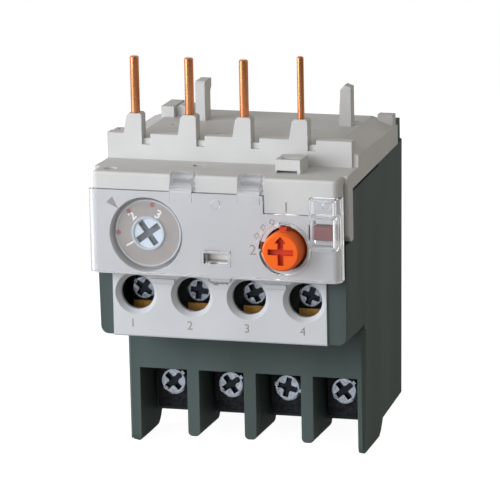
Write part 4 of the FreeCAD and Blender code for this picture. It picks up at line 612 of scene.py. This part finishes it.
def white_paper():
    """Matt white paper: as bright as the backdrop, and it keeps the object's soft shadow."""
    material = bpy.data.materials.new("white_paper_floor")
    material.use_nodes = True
    tree = material.node_tree
    tree.nodes.clear()
    paper = node(tree, "ShaderNodeBsdfDiffuse", inputs={"Color": linear(PAPER)})
    level = node(tree, "ShaderNodeMath", {"operation": "MULTIPLY"}, {0: shown_white(tree, PAPER_MIRRORED)},
                 {1: PAPER_GLOW})
    glow = node(tree, "ShaderNodeEmission", links={"Strength": level.outputs["Value"]})
    both = node(tree, "ShaderNodeAddShader", links={0: paper.outputs["BSDF"], 1: glow.outputs["Emission"]})
    node(tree, "ShaderNodeOutputMaterial", links={"Surface": both.outputs["Shader"]})
    return material


bm = bmesh.new()
bmesh.ops.create_circle(bm, cap_ends=True, segments=64, radius=FLOOR_RADIUS)
bmesh.ops.translate(bm, verts=bm.verts, vec=(0, 0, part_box("base_housing")[0].z - FLOOR_GAP))
floor_mesh = bpy.data.meshes.new("studio_floor")
bm.to_mesh(floor_mesh)
bm.free()
floor_mesh.materials.append(white_paper())
floor = bpy.data.objects.new("studio_floor", floor_mesh)
bpy.context.scene.collection.objects.link(floor)

# ------------------------------------------------------------------ backdrop and lamps
AMBIENT = "F6ECDE"
AMBIENT_STRENGTH = 0.31
BRIGHT_SIDE = (-0.6, 0.8, 0)    # to the left and behind
MIRRORED_SWEEP = (-0.4, 0.6)    # from the dimmest to the brightest, as the cosine towards the bright side
DIMMEST_MIRRORED = 0.12

world = bpy.data.worlds.new("studio_world")
bpy.context.scene.world = world
world.use_nodes = True
tree = world.node_tree
tree.nodes.clear()
ambient = node(tree, "ShaderNodeBackground", inputs={"Color": linear(AMBIENT), "Strength": AMBIENT_STRENGTH})
# the backdrop is white all round to the eye; mirrored in metal it dims towards the unlit front and right
looking = node(tree, "ShaderNodeTexCoord").outputs["Generated"]
to_bright_side = node(tree, "ShaderNodeVectorMath", {"operation": "DOT_PRODUCT"}, {0: looking},
                      {1: BRIGHT_SIDE})
mirrored = node(tree, "ShaderNodeMapRange", {"clamp": True}, {"Value": to_bright_side.outputs["Value"]},
                {"From Min": MIRRORED_SWEEP[0], "From Max": MIRRORED_SWEEP[1], "To Min": DIMMEST_MIRRORED})
straight = node(tree, "ShaderNodeLightPath").outputs["Is Camera Ray"]
level = node(tree, "ShaderNodeMath", {"operation": "MAXIMUM"}, {0: mirrored.outputs["Result"], 1: straight})
backdrop = node(tree, "ShaderNodeBackground", links={"Strength": level.outputs["Value"]},
                inputs={"Color": linear("FFFFFF")})
either = node(tree, "ShaderNodeMixShader",
              links={0: shown_white(tree, 1.0), 1: ambient.outputs["Background"],
                     2: backdrop.outputs["Background"]})
node(tree, "ShaderNodeOutputWorld", links={"Surface": either.outputs["Shader"]})

CENTRE = (cad_bounds[0] + cad_bounds[1]) / 2


def direction(azimuth, elevation):
    """Unit vector towards a place round the object, in degrees; azimuth 0 is the front and 90 the right."""
    turn = math.radians(azimuth)
    rise = math.radians(elevation)
    return Vector((math.sin(turn) * math.cos(rise), -math.cos(turn) * math.cos(rise), math.sin(rise)))


def softbox(name, azimuth, elevation, distance, size, power, colour):
    """Square lamp that looks at the object's middle."""
    outward = direction(azimuth, elevation)
    lamp = bpy.data.lights.new(name, "AREA")
    lamp.shape = "SQUARE"
    lamp.size = size
    lamp.energy = power
    lamp.color = linear(colour)[:3]
    lit = bpy.data.objects.new(name, lamp)
    bpy.context.scene.collection.objects.link(lit)
    lit.location = CENTRE + outward * distance
    lit.rotation_mode = "QUATERNION"
    lit.rotation_quaternion = (-outward).to_track_quat("-Z", "Y")


softbox("key_softbox", azimuth=-52, elevation=14, distance=0.34, size=0.24, power=1.3, colour="F2F4FA")
softbox("front_softbox", azimuth=-12, elevation=18, distance=0.45, size=0.25, power=0.75, colour="F4F4F8")
softbox("right_softbox", azimuth=82, elevation=20, distance=0.6, size=0.3, power=0.55, colour="F6F2E8")

# ------------------------------------------------------------------ camera, front right and a little above
AZIMUTH = 16.8
ELEVATION = 13.1
ROLL = math.radians(-1.16)
DISTANCE = 0.7863
LENS = 331.2
AIM = Vector((7.25, -8.6, -25.2)) * MM      # what it looks at, then shifted in the picture's plane
AIM_RIGHT = 5.41 * MM
AIM_UP = 3.33 * MM
back = direction(AZIMUTH, ELEVATION)
right = Vector((math.cos(math.radians(AZIMUTH)), math.sin(math.radians(AZIMUTH)), 0.0))
up = back.cross(right)
across = right * math.cos(ROLL) + up * math.sin(ROLL)
upright = up * math.cos(ROLL) - right * math.sin(ROLL)
camera_data = bpy.data.cameras.new("studio_camera")
camera_data.sensor_width = 36.0
camera_data.lens = LENS
camera_data.clip_start = 0.05
camera_data.clip_end = 20.0
camera = bpy.data.objects.new("studio_camera", camera_data)
bpy.context.scene.collection.objects.link(camera)
turned = Matrix((across, upright, back)).transposed().to_4x4()
camera.matrix_world = Matrix.Translation(AIM + back * DISTANCE + right * AIM_RIGHT + up * AIM_UP) @ turned
bpy.context.scene.camera = camera
bpy.context.scene.view_settings.view_transform = "Standard"
